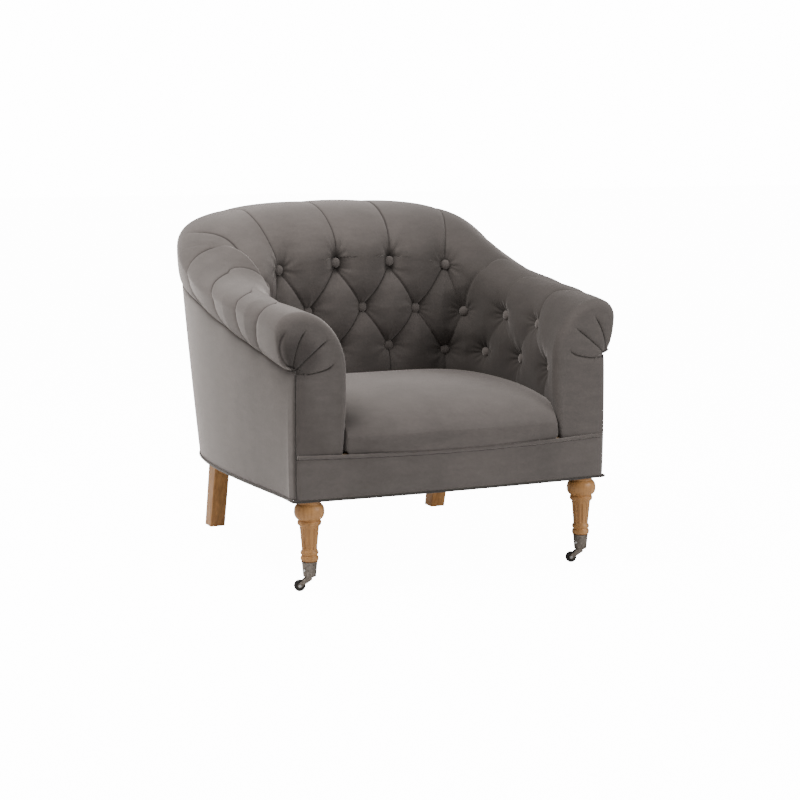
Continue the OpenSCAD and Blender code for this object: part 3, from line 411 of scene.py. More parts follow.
def neck_height(t):
    """Where the roll meets the outside panels."""
    return neck_front + (neck_back - neck_front) * np.sin(np.radians(90) * (1 - np.minimum(1, np.abs(t))))


def roll_out(t):
    """How far the roll stands out past the outside line."""
    return 14 + 16 * np.minimum(1, np.abs(t)) ** 2


def crest_place(t):
    """The crest's depth behind the inside line."""
    s = np.minimum(1, np.abs(t))
    return (tub_width(t) + roll_out(t)) * (0.5 + 0.14 * s * s)


def belly(t, z):
    """How far the inside face swells forwards over the seat."""
    return 12 * np.sin(np.radians(90) * np.clip((z - deck) / (0.8 * (crest_height(t) - face_rise - deck)), 0, 1))


def face_depth(t, z):
    rise = np.clip((z - crest_height(t) + face_rise) / face_rise, 0, 1)
    return (crest_place(t) + belly(t, z)) * (1 - (1 - rise ** face_power) ** (1 / face_power)) - belly(t, z)


def ease(u):
    u = np.clip(u, 0, 1)
    return u * u * (3 - 2 * u)


def low_row(t):
    """The lowest row of buttons sinks a little along the arms."""
    return 466 - 18 * ease((np.minimum(1, np.abs(t)) - 0.12) / 0.18)


def row_height(t, row):
    low = low_row(t)
    upper = low + row_gap + (row - 1) * np.minimum(564 - low, crest_height(t) - low - 110)
    return np.where(row <= 1, low + row_gap * row, upper)


deck_row = -1.55  # where the rows, counted on downwards from the lowest buttons, meet the deck
roll_power = 2.2


def roll_profile(t, row):
    """Depth and height on the padding: rows count up the inside, 3 is the crest and 5 the neck."""
    crest, width, out = crest_height(t), tub_width(t), roll_out(t)
    neck, place = neck_height(t), crest_place(t)
    widest = neck + (crest - neck) * 0.64
    z_low = deck + (low_row(t) - deck) * (1 - np.minimum(row, 0) / deck_row)
    z_face = np.where(row < 0, z_low, row_height(t, np.clip(row, 0, 2)))
    d_face = face_depth(t, z_face)
    start = np.arcsin(np.clip((row_height(t, np.full_like(t, 2.0)) - crest + face_rise) / face_rise, 0, 1) ** 0.95)
    a = start + (np.pi / 2 - start) * np.clip(row - 2, 0, 1)
    d_in = place - (place + belly(t, crest - face_rise)) * np.cos(a) ** (2 / face_power)
    z_in = crest - face_rise + face_rise * np.sin(a) ** (2 / face_power)
    b = np.pi / 2 * np.clip(row - 3, 0, 1)
    d_out = place + (width + out - place) * np.sin(b) ** (2 / roll_power)
    z_out = widest + (crest - widest) * np.cos(b) ** (2 / roll_power)
    e = np.pi / 2 * np.clip(row - 4, 0, 1)
    d_under = width + out * np.cos(e)
    z_under = widest - (widest - neck - 0.3) * np.sin(e)
    d = np.select([row <= 2, row <= 3, row <= 4], [d_face, d_in, d_out], d_under)
    z = np.select([row <= 2, row <= 3, row <= 4], [z_face, z_in, z_out], z_under)
    return d, z


# Tufted padding: hair and wadding under velvet, tied down by buttons in three rows.
# Folded pleats join the buttons of the back in diamonds, and others run up over the rolled top.
# The arms' fabric goes on round their front edges into fans of pleats at the scrolls.
half_steps = [0, 0.5, 1, 1.5, 1.75, 2.125, 2.625, 3.125, 3.75, 4.375, 5]


def place_of(step):
    """Where a button stands, in mean spacings from the middle of the back: closest in the corners."""
    return math.copysign(half_steps[round(2 * abs(step))], step)


button_rows = ([(place_of(c), 0) for c in np.arange(-4.5, 5)] + [(place_of(c), 1) for c in np.arange(-4, 5)]
               + [(place_of(c), 2) for c in (-1.5, -0.5, 0.5, 1.5)])


def folds():
    """Fold lines of the back and arms: the places and rows of their two ends."""
    lines = [(place_of(c), 1, place_of(c + side), 0) for c in range(-4, 5) for side in (-0.5, 0.5)]
    lines += [(place_of(c), 2, place_of(c + side), 1) for c in (-1.5, -0.5, 0.5, 1.5) for side in (-0.5, 0.5)]
    return lines + [(place_of(c), 0, place_of(c), -9) for c in np.arange(-4.5, 5)]


# Pleats over the roll: rows and places that each passes, its depth and lip, its share inside the crest,
# and its side (-1 left, 1 right, 0 both).
# The arms' pleats rise from their buttons, lean to the front over the crest and end under the roll.
roll_pleats = [
    ([2, 2.5, 3, 5], [0.5, 0.48, 0.42, 0.4], 5, 1.6, 1.0, 0),
    ([2, 2.12, 2.37, 2.54, 2.74, 3, 5], [1.5, 1.56, 1.58, 1.54, 1.45, 1.3, 1.25], 6, 2.4, 1.0, -1),
    ([2, 2.5, 2.8, 3.1, 5], [1.5, 1.52, 1.5, 1.42, 1.4], 4.8, 1.1, 1.0, 1),
    ([1.6, 1.95, 2.18, 2.42, 2.55, 2.66, 2.78, 2.93, 3.04, 3.27, 3.6, 5],
     [2.0, 2.21, 2.27, 2.28, 2.24, 2.16, 2.09, 2.05, 2.0, 1.95, 1.9, 1.9], 7, 1.9, 1.0, -1),
    ([2.3, 2.52, 2.67, 3.01, 3.13, 3.28, 3.42, 3.58, 3.68, 3.84, 4.2, 4.45, 4.62, 5],
     [2.33, 2.33, 2.3, 2.29, 2.31, 2.35, 2.43, 2.53, 2.6, 2.66, 2.69, 2.85, 3.01, 3.2], 6, 1.9, 0.3, -1),
    ([2.2, 2.5, 2.75, 3, 3.34, 3.6, 3.85, 4.2, 4.45, 4.62, 5],
     [1.8, 1.92, 2.1, 2.24, 2.38, 2.52, 2.64, 2.74, 2.85, 2.97, 3.1], 6, 1.9, 0.1, 1),
    ([1, 1.5, 1.84, 1.96, 2.06, 2.2, 2.44, 2.9, 3.08, 3.23, 3.39, 3.62, 4, 4.38, 4.7, 5],
     [1.75, 1.85, 2.01, 2.29, 2.49, 2.64, 2.77, 2.9, 3.02, 3.18, 3.32, 3.49, 3.64, 3.62, 3.74, 3.8], 6, 1.9, 0.7, -1),
    ([1, 1.3, 1.66, 1.87, 2.03, 2.21, 2.5, 2.79, 3, 3.23, 3.62, 4, 4.38, 4.7, 5],
     [1.75, 1.8, 1.93, 2.05, 2.25, 2.46, 2.62, 2.76, 2.88, 3.08, 3.42, 3.6, 3.66, 3.74, 3.8], 5, 1.6, 0.8, 1),
    ([1, 1.7, 2.32, 2.75, 3.04, 3.28, 3.49, 3.75, 4.13, 4.5, 5],
     [2.625, 3.1, 3.49, 3.7, 3.84, 4.02, 4.1, 4.16, 4.17, 4.23, 4.3], 6, 1.9, 0.3, -1),
    ([1, 1.63, 1.93, 2.3, 2.7, 3, 3.28, 3.74, 4.13, 4.5, 5],
     [2.625, 2.91, 3.14, 3.35, 3.62, 3.8, 3.98, 4.14, 4.18, 4.23, 4.3], 5, 1.6, 0.2, 1),
    ([1, 1.5, 2, 2.3, 2.55, 2.94, 3.13, 3.3, 3.52, 3.88, 4.18, 4.5, 5],
     [3.75, 4.0, 4.3, 4.5, 4.58, 4.6, 4.61, 4.63, 4.65, 4.63, 4.59, 4.57, 4.55], 6, 1.9, 0.6, -1),
    ([1, 1.19, 1.48, 1.76, 1.99, 2.42, 2.69, 3, 3.5, 3.9, 4.2, 4.5, 5],
     [3.75, 3.93, 3.99, 4.04, 4.11, 4.24, 4.38, 4.5, 4.61, 4.63, 4.6, 4.57, 4.55], 5, 1.6, 0.8, 1)]


back_cloth = [0, 98, 205, 470, 665, 765]  # millimetres of cloth up to each whole row
arm_cloth = [0, 98, 213, 263, 363, 428]
eased = np.ones(17) / 17


def pleat_line(rows, places):
    """The cloth's run at whole rows, and a pleat along it: a fine run, its eased places and slope."""
    cloth = back_cloth if places[0] < 1.6 else arm_cloth
    run = np.interp(rows, range(6), cloth)
    fine = np.linspace(run[0], run[-1], 400)
    place = np.interp(fine, run, places)
    for _ in range(3):
        place = np.convolve(np.pad(place, 8, "edge"), eased, "valid")
    return cloth, fine, place, np.gradient(place, fine) * spacing


def ripple(x, y, seed, size, count=7):
    """Gentle unevenness of a hand-stuffed pad, between -1 and 1."""
    pick = np.random.default_rng(seed)
    total = np.zeros_like(x)
    for _ in range(count):
        turn, phase, scale = pick.uniform(0, 2 * np.pi), pick.uniform(0, 2 * np.pi), pick.uniform(0.6, 1.6)
        total += np.sin((x * np.cos(turn) + y * np.sin(turn)) * scale / size + phase)
    return total / count


def tuft_depth(c, row, z):
    """How far the fabric is drawn in at a place in the button field, and how much painted shade its folds and button
    wells get.
    """
    x = c * spacing
    y = np.where(row < 0, z - low_row(c / arm_end), row * row_gap)
    deep, crease, lips, line = [np.zeros_like(x) for _ in range(4)]
    ends = np.clip((4.8 - np.abs(c)) / 0.45, 0, 1)
    firm = ends * (1 - 0.6 * ease((np.abs(c) - 1.45) / 0.5))
    crisp = ends * (1 - 0.9 * ease((np.abs(c) - 1.5) / 0.4))
    for c0, r0, c1, r1 in folds():
        ax, ay, bx, by = c0 * spacing, r0 * row_gap, c1 * spacing, max(r1 * row_gap, -170)
        lx, ly = bx - ax, by - ay
        long = math.hypot(lx, ly)
        along = np.clip(((x - ax) * lx + (y - ay) * ly) / long ** 2, 0, 1)
        away = np.hypot(x - ax - along * lx, y - ay - along * ly)
        side = ((x - ax) * ly - (y - ay) * lx) / long * (-1 if (lx < 0) == (r1 >= 0) else 1)
        depth, half = (12.5, 58.0) if r1 >= 0 else (9.0, 50.0)
        deep = np.maximum(deep, firm * depth * np.clip(1 - away / half, 0, 1) ** 1.9)
        crease = np.maximum(crease, crisp * 3.2 * np.exp(-away / 2.6))
        line = np.maximum(line, crisp * np.exp(-(away / 2.2) ** 2))
        middle_of = np.sin(np.pi * np.clip(along, 0.02, 0.98)) ** 0.5
        lips = lips + crisp * 1.2 * np.tanh(side / 1.2) * np.exp(-away / 9) * middle_of
    for rows, places, depth, lip, inner, only in roll_pleats:
        cloth, fine, place, slope = pleat_line(rows, places)
        run = np.interp(row, range(6), cloth)
        off = (np.abs(c) - np.interp(run, fine, place)) * spacing
        below = np.clip(rows[0] - row, 0, None) * row_gap
        away = np.hypot(off / np.hypot(1, np.interp(run, fine, slope)), below)
        side = np.sign(off) * away
        fade = inner + (1 - inner) * ease((row - 2.6) / 0.5)
        if rows[0] == 2:  # the back's own pleats soften over the top
            fade = fade * (1 - 0.5 * ease((row - 2.6) / 1.2))
        started = np.clip((row - rows[0]) / 0.2, 0, 1) * (c * only >= 0)
        if rows[0] == 1.6:  # and the one in the corner ends on the roll
            started = started * ease((3.7 - row) / 0.6)
        drawn = fade * started
        crown = 1 - 0.62 * np.exp(-((row - 2.95) / 0.5) ** 2)
        deep = np.maximum(deep, depth * crown * drawn * np.clip(1 - away / 50, 0, 1) ** 1.6)
        crease = np.maximum(crease, 3.0 * (0.4 + 0.6 * crown) * drawn * np.exp(-away / 2.4))
        line = np.maximum(line, drawn * np.exp(-(away / 2.0) ** 2))
        lips = lips - lip * crown * drawn * np.tanh(side / 1.4) * np.exp(-away / 11)
    wells, gathers = np.zeros_like(x), np.zeros_like(x)
    pick = np.random.default_rng(5)
    for c0, r0 in button_rows:
        px, py = x - c0 * spacing, y - r0 * row_gap
        off = np.hypot(px, py)
        wells = np.maximum(wells, 23 * np.exp(-(off / 27) ** 1.35))
        angle = np.arctan2(py, px)
        for height, ring, wide, few in ((0.9, 20, 13, 9), (0.7, 38, 18, 5)):
            count, phase = pick.integers(few, few + 4), pick.uniform(0, 6.28)
            gathers += height * np.sin(count * angle + phase) * np.exp(-((off - ring) / wide) ** 2)
        # painted shade round each button, down in its well
        line = np.maximum(line, 0.9 * np.exp(-(off / 15) ** 4))
    return deep + crease + wells + lips + gathers + 1.1 * ripple(x, y, 3, 60), line


def grid_normals(points):
    """Outward normals of a grid of points."""
    across, up = np.gradient(points, axis=0), np.gradient(points, axis=1)
    facing = np.cross(across, up)
    return facing / np.maximum(1e-9, np.linalg.norm(facing, axis=-1, keepdims=True))


skin_rows = 330
seam_dive = 2.2  # past a seam the padding dives this far under its neighbour


def even_rows(t):
    """Rows that stand evenly along the padding's profile at one station."""
    fine = np.linspace(deck_row, 5, 1500)
    d, z = roll_profile(np.full(len(fine), t), fine)
    run = run_along(np.stack([d, z], 1))
    return np.interp(np.linspace(0, 1, skin_rows), run / run[-1], fine)


def tufted_skin(c, past):
    """The padding before and after it is drawn in, a column for each place c, and the painted shade along its folds."""
    row = np.stack([even_rows(t) for t in c / arm_end])
    c = np.repeat(c[:, None], skin_rows, 1)
    d, z = roll_profile(c / arm_end, row)
    plain = tub_point(c / arm_end, d, z)
    sink, line = tuft_depth(c, row, z)
    sink = sink * np.clip((5 - row) / 0.25, 0, 1)
    sink = sink + seam_dive * (np.clip(past, 0, None)[:, None] / seam_lap) ** 2
    return plain, plain - grid_normals(plain) * sink[..., None], line


def mesh_piece(name, points, faces, creases=None):
    """A mesh object from points in millimetres and faces, with its normals outwards."""
    points = np.asarray(points, float) - (0, middle, 0)
    mesh = bpy.data.meshes.new(name)
    mesh.from_pydata((points / 1000).tolist(), [], [list(map(int, f)) for f in faces])
    # the crease attribute carries painted shade for the velvet's dark mix
    if creases is not None:
        marks = mesh.attributes.new("crease", "FLOAT", "POINT")
        marks.data.foreach_set("value", np.asarray(creases, np.float32))
    mesh.update()
    piece = bpy.data.objects.new(name, mesh)
    scene.collection.objects.link(piece)
    tidy = bmesh.new()
    tidy.from_mesh(mesh)
    bmesh.ops.remove_doubles(tidy, verts=tidy.verts, dist=1e-5)
    bmesh.ops.recalc_face_normals(tidy, faces=tidy.faces)
    tidy.to_mesh(mesh)
    tidy.free()
    mesh.polygons.foreach_set("use_smooth", [len(face.vertices) < 5 for face in mesh.polygons])
    mesh.update()
    return piece


def ring_skin(rings, per_ring):
    """Faces between neighbouring rings of points."""
    return [(i * per_ring + j, i * per_ring + (j + 1) % per_ring,
             (i + 1) * per_ring + (j + 1) % per_ring, (i + 1) * per_ring + j)
            for i in range(rings - 1) for j in range(per_ring)]


def capped_skin(rings, per_ring):
    """The same with a face over each end."""
    first = (rings - 1) * per_ring
    return ring_skin(rings, per_ring) + [tuple(range(per_ring)), tuple(range(first, first + per_ring))]


def round_ring(centre, across, up, radius, sides):
    """Points evenly round a circle."""
    a = 2 * np.pi * np.arange(sides)[:, None] / sides
    return centre + (across * np.cos(a) + up * np.sin(a)) * radius


def cone(first, per_ring, tip):
    """Triangles from a ring of points to a tip."""
    return [(first + j, first + (j + 1) % per_ring, tip) for j in range(per_ring)]


def velvet(name, nap, shade, inside=0.0):
    """Short cut pile: dim face-on, bright where it is seen edgeways, with brushed patches, and painted shade mixed in
    along the crease attribute and inside the tub.
    """
    material, shader, place = finish(name)
    brushed = place.noise(7, 3, 0.55, (1, 1, 0.45))
    stroked = place.noise(34, 3, 0.6, (0.5, 0.5, 1.8))
    crushed = place.noise(120, 2, 0.6)
    pile = place.noise(1900, 2, 0.7)
    tone = (brushed * 0.5 + stroked * 0.33 + crushed * 0.17 - 0.5) * nap
    deep = [c * shade * 0.86 for c in (0.127, 0.112, 0.104)]
    pale = [c * shade * 1.16 for c in (0.139, 0.122, 0.114)]
    colour = (tone * 2.4 + 0.5).held(0, 1).between(deep, pale)
    flecks = (pile * 3 - 1.3).held(0, 1) * 0.16
    colour = flecks.between(colour, [c * 1.5 for c in pale])
    lie = brushed * 1.2 + stroked * 0.6 + crushed * 0.25
    bump = pile.bump(0.35, 0.0004, Normal=lie.bump(0.12, 0.004))
    feed(shader, Base_Color=colour, Roughness=0.86 - tone * 0.12, Normal=bump, Specular_IOR_Level=0.18,
         Sheen_Weight=0.85, Sheen_Roughness=0.42, Sheen_Tint=(0.79, 0.735, 0.705, 1))
    # painted shade: along the crease attribute (folds, button wells, the fan corner and the left scroll) the velvet is
    # mixed towards a dark diffuse shader that throws no sheen back
    crease_painted_shade = place.node("ShaderNodeAttribute", {"attribute_name": "crease"}, {}, "Fac")
    depths = place.node("ShaderNodeBsdfDiffuse", {}, {"Color": (*[c * 0.3 for c in deep], 1)})
    # painted shade inside the tub as well, darkest low down and towards the right, behind the arms' front faces
    x, y, z = [place.node("ShaderNodeSeparateXYZ", {}, {0: place}, axis) for axis in (0, 1, 2)]
    far = ((x - 0.06) * 4.2).held(0, 1)
    low = ((0.68 - z) * 3.2).held(0, 1) * ((x + 0.25) * 20).held(0, 1)
    tub_painted_shade = ((y + 0.417) * 50).held(0, 1) * (far * 0.4 + low * 0.32) * inside
    painted_shade_mix = place.sum("MAXIMUM", crease_painted_shade * 0.8, tub_painted_shade).held(0, 0.8)
    tree = place.tree
    mixed = place.node("ShaderNodeMixShader", {}, {0: painted_shade_mix, 1: Wire(tree, shader.outputs[0]), 2: depths})
    tree.links.new(mixed.socket, tree.nodes["Material Output"].inputs["Surface"])
    return material


velvet_cloth = velvet("taupe_velvet", 1.15, 1.0)
# the tufted pieces' velvet is a touch darker, as painted shade, and carries the painted shade inside the tub
tufted_cloth = velvet("tufted_taupe_velvet", 1.15, 0.95, 1.0)
# a much darker copy of the velvet: painted shade for the front corner seams and the welt round the foot
seam_shade_cloth = velvet("seam_velvet_painted_shade", 0.6, 0.42)
pad_depth = 42


def hidden_side(t):
    """Two lines of points on the frame's boards that close the padding's section."""
    crest, neck = crest_height(t), neck_height(t)
    under = crest - face_rise + (neck - crest + face_rise) * pad_depth / tub_width(t)
    depth = np.full_like(t, pad_depth)
    return [tub_point(t, depth, under + 0.3)[:, None], tub_point(t, depth, np.full_like(t, deck))[:, None]]


def tufted_back():
    c = np.linspace(-back_seam - seam_lap, back_seam + seam_lap, 287)
    _, skin, line = tufted_skin(c, np.abs(c) - back_seam)
    rings = np.concatenate([skin, *hidden_side(c / arm_end)], 1)
    creases = np.pad(line, ((0, 0), (0, 2))).ravel()
    piece = mesh_piece("back_padding", rings.reshape(-1, 3), capped_skin(*rings.shape[:2]), creases)
    settle(piece, "tufted_back_cover", tufted_cloth)
    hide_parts("tufted_back")


tufted_back()

fan_pleats = [  # across and up, from the rim to the corner of the arm, in millimetres
    [(396, 577), (402, 567), (406.5, 555), (408, 543), (407, 531),
     (403.5, 518), (397.5, 507), (390.5, 499), (382, 490)],
    [(351, 578), (361, 564), (370, 547), (376.5, 529), (380.5, 510), (381, 494)],
    [(300, 554), (318, 540), (338, 524), (358, 508), (376, 491)],
    [(286, 504), (293, 495), (304, 488.5), (322, 484), (348, 480), (376, 482)]]
fan_depths = (3.4, 3.8, 3.8, 3.6)
fan_corner = (380, 487)
scroll_hub = np.array([358.0, 486.0])
edge_round, edge_inset = 25.0, 27.0
side_rows, side_top = 60, 489.3


def front_bow(x):
    """How far the chair's front bows forwards, and below how far it dips, at x."""
    return -13 * (1 - (x / front_half) ** 2)


def front_dip(x):
    return 8 * (1 - (x / front_half) ** 2)


def scroll_outline(y):
    """The arm's outline at a distance y from its front: the padding's profile, moved along the inside line."""
    ones = np.full(skin_rows, 1.0)
    d, z = roll_profile(ones, even_rows(1.0))
    # the padding's stations fan slightly, so the depth is taken straight across here
    moved = plan_side(*inner_plan, y) - plan_side(*inner_plan, arm_front)
    return tub_point(ones, d, z) + np.array([moved, y - arm_front, 0])


def fan_sink(x, z):
    """Pleats gathered into the corner under the scroll: sink in millimetres, and painted shade along their folds and in
    the corner.
    """
    total, line = np.zeros_like(x), np.zeros_like(x)
    for pleat, depth in zip(fan_pleats, fan_depths):
        pleat = np.array(pleat, float)
        run = run_along(pleat)
        fine = np.linspace(0, run[-1], 160)
        path = np.stack([np.interp(fine, run, pleat[:, k]) for k in (0, 1)], 1)
        for _ in range(2):
            path[8:-8] = np.stack([np.convolve(path[:, k], eased, "valid") for k in (0, 1)], 1)
        gap = np.hypot(x[..., None] - path[:, 0], z[..., None] - path[:, 1])
        near = gap.argmin(-1)
        away = gap.min(-1)
        way = np.gradient(path, axis=0)[near]
        side = np.sign((x - path[near, 0]) * way[..., 1] - (z - path[near, 1]) * way[..., 0])
        fade = np.clip(near / 30, 0, 1) * (1 - 0.4 * (near / 160))
        wide = 9 + 10 * (1 - near / 160)
        hollow = depth * fade * np.clip(1 - away / wide, 0, 1) ** 1.7
        total = np.maximum(total, hollow + 2.6 * fade * np.exp(-away / 1.7))
        total = total - 0.9 * fade * side * np.exp(-away / 6)
        line = np.maximum(line, fade * np.exp(-(away / 1.7) ** 2))
    hole = np.hypot(x - fan_corner[0], z - fan_corner[1])
    return total + 4 * np.exp(-(hole / 9) ** 2), np.maximum(line, 0.9 * np.exp(-(hole / 6) ** 2))


def facing_rings(front_sink, front_y):
    """Rings from the padding's front end round the arm's edge, and in over its face to the hub."""
    rings = []
    depths = [(arm_front, 0)]
    for a in np.radians(np.arange(5, 91, 5)):
        depths.append((edge_round * (1 - math.sin(a)), edge_inset * (1 - math.cos(a))))
    for y, inset in depths:
        outline = scroll_outline(y) + front_sink * (y / arm_front) ** 2
        outer = 370.7 + 6.3 * np.clip((14 - y) / 8, 0, 1)
        outline[-1] = [min(outline[-1][0], outer + (y / arm_front) * 10), y, outline[-1][2]]
        down = np.linspace(0, 1, side_rows + 1)[1:]
        straight = np.stack([0 * down + outer, 0 * down + y, side_top + (deck - side_top) * down], 1)
        ring = np.concatenate([outline, straight])
        away = scroll_hub - ring[:, [0, 2]]
        long = np.linalg.norm(away, axis=1)
        keep = np.minimum(inset, long * 0.45)
        keep[skin_rows - 12:] = np.minimum(keep[skin_rows - 12:], 1.6)  # the outer side stays crisp
        shift = away / long[:, None] * keep[:, None]
        shift[:, 1] *= np.clip((ring[:, 2] - deck) / 50, 0, 1)
        ring[:, [0, 2]] += shift
        low = 306 - front_dip(ring[:, 0]) - 1.5
        reach_down = np.clip((14 - y) / 6, 0, 1) * np.exp(-(ring[:, 2] - deck) / 12)
        ring[:, 2] += (low - deck) * reach_down
        ring[:, 1] = y
        rings.append(ring)
    rings[0][:skin_rows - 1, 1] = front_y[:-1]
    rim = rings[-1].copy()
    for q in np.concatenate([np.linspace(0.985, 0.1, 74), [0.06]]):
        ring = rim.copy()
        ring[:, [0, 2]] = scroll_hub + (rim[:, [0, 2]] - scroll_hub) * q
        ring[:, 1] = (-3 * (1 - q ** 2.5) + 0.8 * ripple(ring[:, 0], ring[:, 2], 11, 45)) * (1 - q ** 8)
        rings.append(ring)
    return rings


def tufted_arm(side):
    c = np.concatenate([np.linspace(back_seam - seam_lap, back_seam, 5)[:-1], np.linspace(back_seam, arm_end, 176)])
    plain, skin, line = tufted_skin(c, back_seam - c)
    creases = [np.pad(line, ((0, 0), (0, 2))).ravel()]
    rings = facing_rings(skin[-1] - plain[-1], skin[-1, :, 1])
    for ring in rings:
        x, y, z = ring.T.copy()
        sunk, line = fan_sink(x, z)
        front_share = ease((arm_front - y) / 9 - 0.3)
        ring[:, 1] += sunk * front_share
        # painted shade on the left scroll's front, carried in the crease attribute to the velvet's dark mix
        scroll_painted_shade = 0.72 * np.exp(-(np.hypot(x - 371, z - 516) / 49) ** 4)
        scroll_painted_shade = np.maximum(scroll_painted_shade, 0.26 * ease((x - 325) / 45) * ease((530 - z) / 30)) * ease((14 - ring[:, 1]) / 12)
        creases.append(np.maximum(line * front_share, scroll_painted_shade * (side == "left")))
    facing = np.array(rings)
    nf = facing.shape[1]
    pad = np.concatenate([skin, *hidden_side(c / arm_end)], 1)
    n = pad.shape[1]
    base = len(pad) * n
    centre = [[scroll_hub[0], rings[-1][:, 1].mean(), scroll_hub[1]]]
    points = np.concatenate([pad.reshape(-1, 3), facing.reshape(-1, 3), centre])
    faces = ring_skin(len(pad), n) + [tuple(range(n))]
    faces += [tuple(base + i for i in f) for f in ring_skin(len(facing), nf)]
    faces += cone(base + (len(facing) - 1) * nf, nf, len(points) - 1)
    last = (len(pad) - 1) * n
    faces += [(last + j, last + j + 1, base + j + 1, base + j) for j in range(skin_rows - 1)]
    faces.append((last + skin_rows - 1, *range(base + skin_rows - 1, base + nf), base,
                  last, last + n - 1, last + n - 2))
    if side == "left":
        points = points * (-1, 1, 1)
    piece = mesh_piece("arm_padding", points, faces, np.concatenate(creases + [[creases[-1].mean()]]))
    settle(piece, "tufted_arm_%s_cover" % side, tufted_cloth)
    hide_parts("tufted_arm_" + side, "arm_facing_" + side)


tufted_arm("right")
tufted_arm("left")


# Covered buttons: domed metal shells in the same velvet, pulled into the tufts on twine.
# Each sits at the bottom of its well and faces the way the padding faces there.
def covered_buttons():
    turned = [(0, 5.2), (3.2, 5.0), (6.2, 4.3), (8.8, 3.2), (10.6, 1.9), (11.7, 0.6), (12, -0.8),
              (11.6, -2.2), (10.2, -3), (6, -3), (2.4, -3.2), (2.3, -7)]
    segments = 40
    points, faces = [], []
    for c, row in button_rows:
        t = np.array([[c - 0.01] * 2, [c + 0.01] * 2]) / arm_end
        patch = tub_point(t, *roll_profile(t, np.array([[row - 0.02, row + 0.02]] * 2)))
        out = grid_normals(patch)[0, 0]
        turn = np.arange(0, 6.28, 0.4)
        near, height = c + 9 / spacing * np.cos(turn), row + 9 / row_gap * np.sin(turn)
        z = low_row(near / arm_end) + np.clip(height, None, 0) * row_gap
        bottom = tuft_depth(near, height, z)[0].mean()
        centre = patch.mean((0, 1)) - out * (bottom - 1.5)
        across = np.cross(out, (0, 0, 1.0))
        across /= np.linalg.norm(across)
        up = np.cross(across, out)
        start = len(points)
        for r, h in turned[1:]:
            points += [*round_ring(centre + out * h, across, up, r, segments)]
        points += [centre + out * turned[0][1], centre + out * turned[-1][1]]
        rings = len(turned) - 1
        faces += [tuple(start + i for i in f) for f in ring_skin(rings, segments)]
        faces += cone(start, segments, len(points) - 2)
        faces += cone(start + (rings - 1) * segments, segments, len(points) - 1)
    piece = mesh_piece("buttons", points, faces)
    settle(piece, "covered_buttons", velvet_cloth)
    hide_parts("buttons")


covered_buttons()


# Outside panels: velvet drawn over thin wadding on the arms and round the back.
# They are tacked under the roll, turned under at the foot and leant in towards the back.
back_lean = 62
panel_rows, panel_front = 64, 4.2


def panel_depth(t, z):
    s = np.minimum(1, np.abs(t))
    neck = neck_height(t)
    return tub_width(t) - back_lean * (1 - s * s) ** 0.75 * np.clip(neck - z, 0, None) / (neck - body_low)


def outside_panel(name, node, c_from, c_to, columns):
    c = np.concatenate([np.linspace(c_from, c_to - 0.1, columns)[:-1], np.linspace(c_to - 0.1, c_to, 14)])
    t = np.repeat((c / arm_end)[:, None], panel_rows, 1)
    up = np.repeat(np.linspace(0, 1, panel_rows)[None], len(c), 0)
    neck = neck_height(t)
    z = cloth_low + (neck - cloth_low) * up
    plump = 2.2 * np.sin(np.pi * up) ** 0.6 + 0.5 * ripple(c[:, None] * spacing + 0 * up, z, 21, 90)
    tuck = 5 * np.exp(-(1 - up) * (neck - body_low) / 4) + 1.2 * np.exp(-up * (neck - body_low) / 3)
    # past its seam it dives under the next panel
    beyond = np.abs(c) - panel_seam if node == "outside_back" else panel_seam - c
    tuck = tuck + 1.6 * ease(0.5 + beyond / 2 / seam_lap)[:, None]
    # an arm's panel goes on forwards along the outer plan, and turns in at its front edge
    past = np.clip(c / arm_end - 1, 0, None)
    y = arm_front - past * outside[2]
    narrow = plan_side(*outer_plan, arm_front) - plan_side(*outer_plan, y)
    ahead = np.stack([narrow, past * outside[2], 0 * past], 1)[:, None]
    turned = 2.4 * np.exp(-(y - panel_front) / 2) * (past > 0)
    outer = tub_point(t, panel_depth(t, z) + plump - tuck, z)
    outer = outer - ahead - np.stack([turned, 0 * past, 0 * past], 1)[:, None]
    inner = tub_point(t, panel_depth(t, z) - 5.5, np.minimum(z, neck - 3))[:, ::-1] - ahead
    rings = np.concatenate([outer, inner], 1)
    points = rings.reshape(-1, 3)
    if node.endswith("left"):
        points = points * (-1, 1, 1)
    piece = mesh_piece(name, points, capped_skin(*rings.shape[:2]))
    settle(piece, name, velvet_cloth)
    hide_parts(node)


outside_panel("back_panel_cover", "outside_back", -panel_seam - seam_lap, panel_seam + seam_lap, 120)
front_reach = arm_end * (1 + (arm_front - panel_front) / outside[2])
for side in ("right", "left"):
    outside_panel("arm_panel_%s_cover" % side, "outside_arm_" + side, panel_seam - seam_lap, front_reach, 110)


# Seat: a firm crowned pad on the springs, its velvet drawn over a rounded nose to the front welt.
# It fills the tub wall to wall and swells highest in the middle.
seat_low, nose_low = 306.5, 304.5
seat_edge, seat_rear, seat_crown = 330, 397, 424  # heights at the front edge, the back and the middle
side_height, side_run, side_lift = 377, 95, 20  # at the sides it rises over this run, and lifts at the back
seat_mid, nose_reach = 252.5, 24


def swell(u, power):
    """A rounded rise from 0 to 1."""
    return (1 - (1 - np.clip(u, 0, 1)) ** power) ** (1 / 1.7)


def seat_side(y):
    lift = side_lift * (np.clip(y - inner_plan[2], 0, None) / (inner_back - inner_plan[2])) ** 2
    return seat_edge + (side_height - seat_edge) * swell(y / side_run, 2.6) + lift


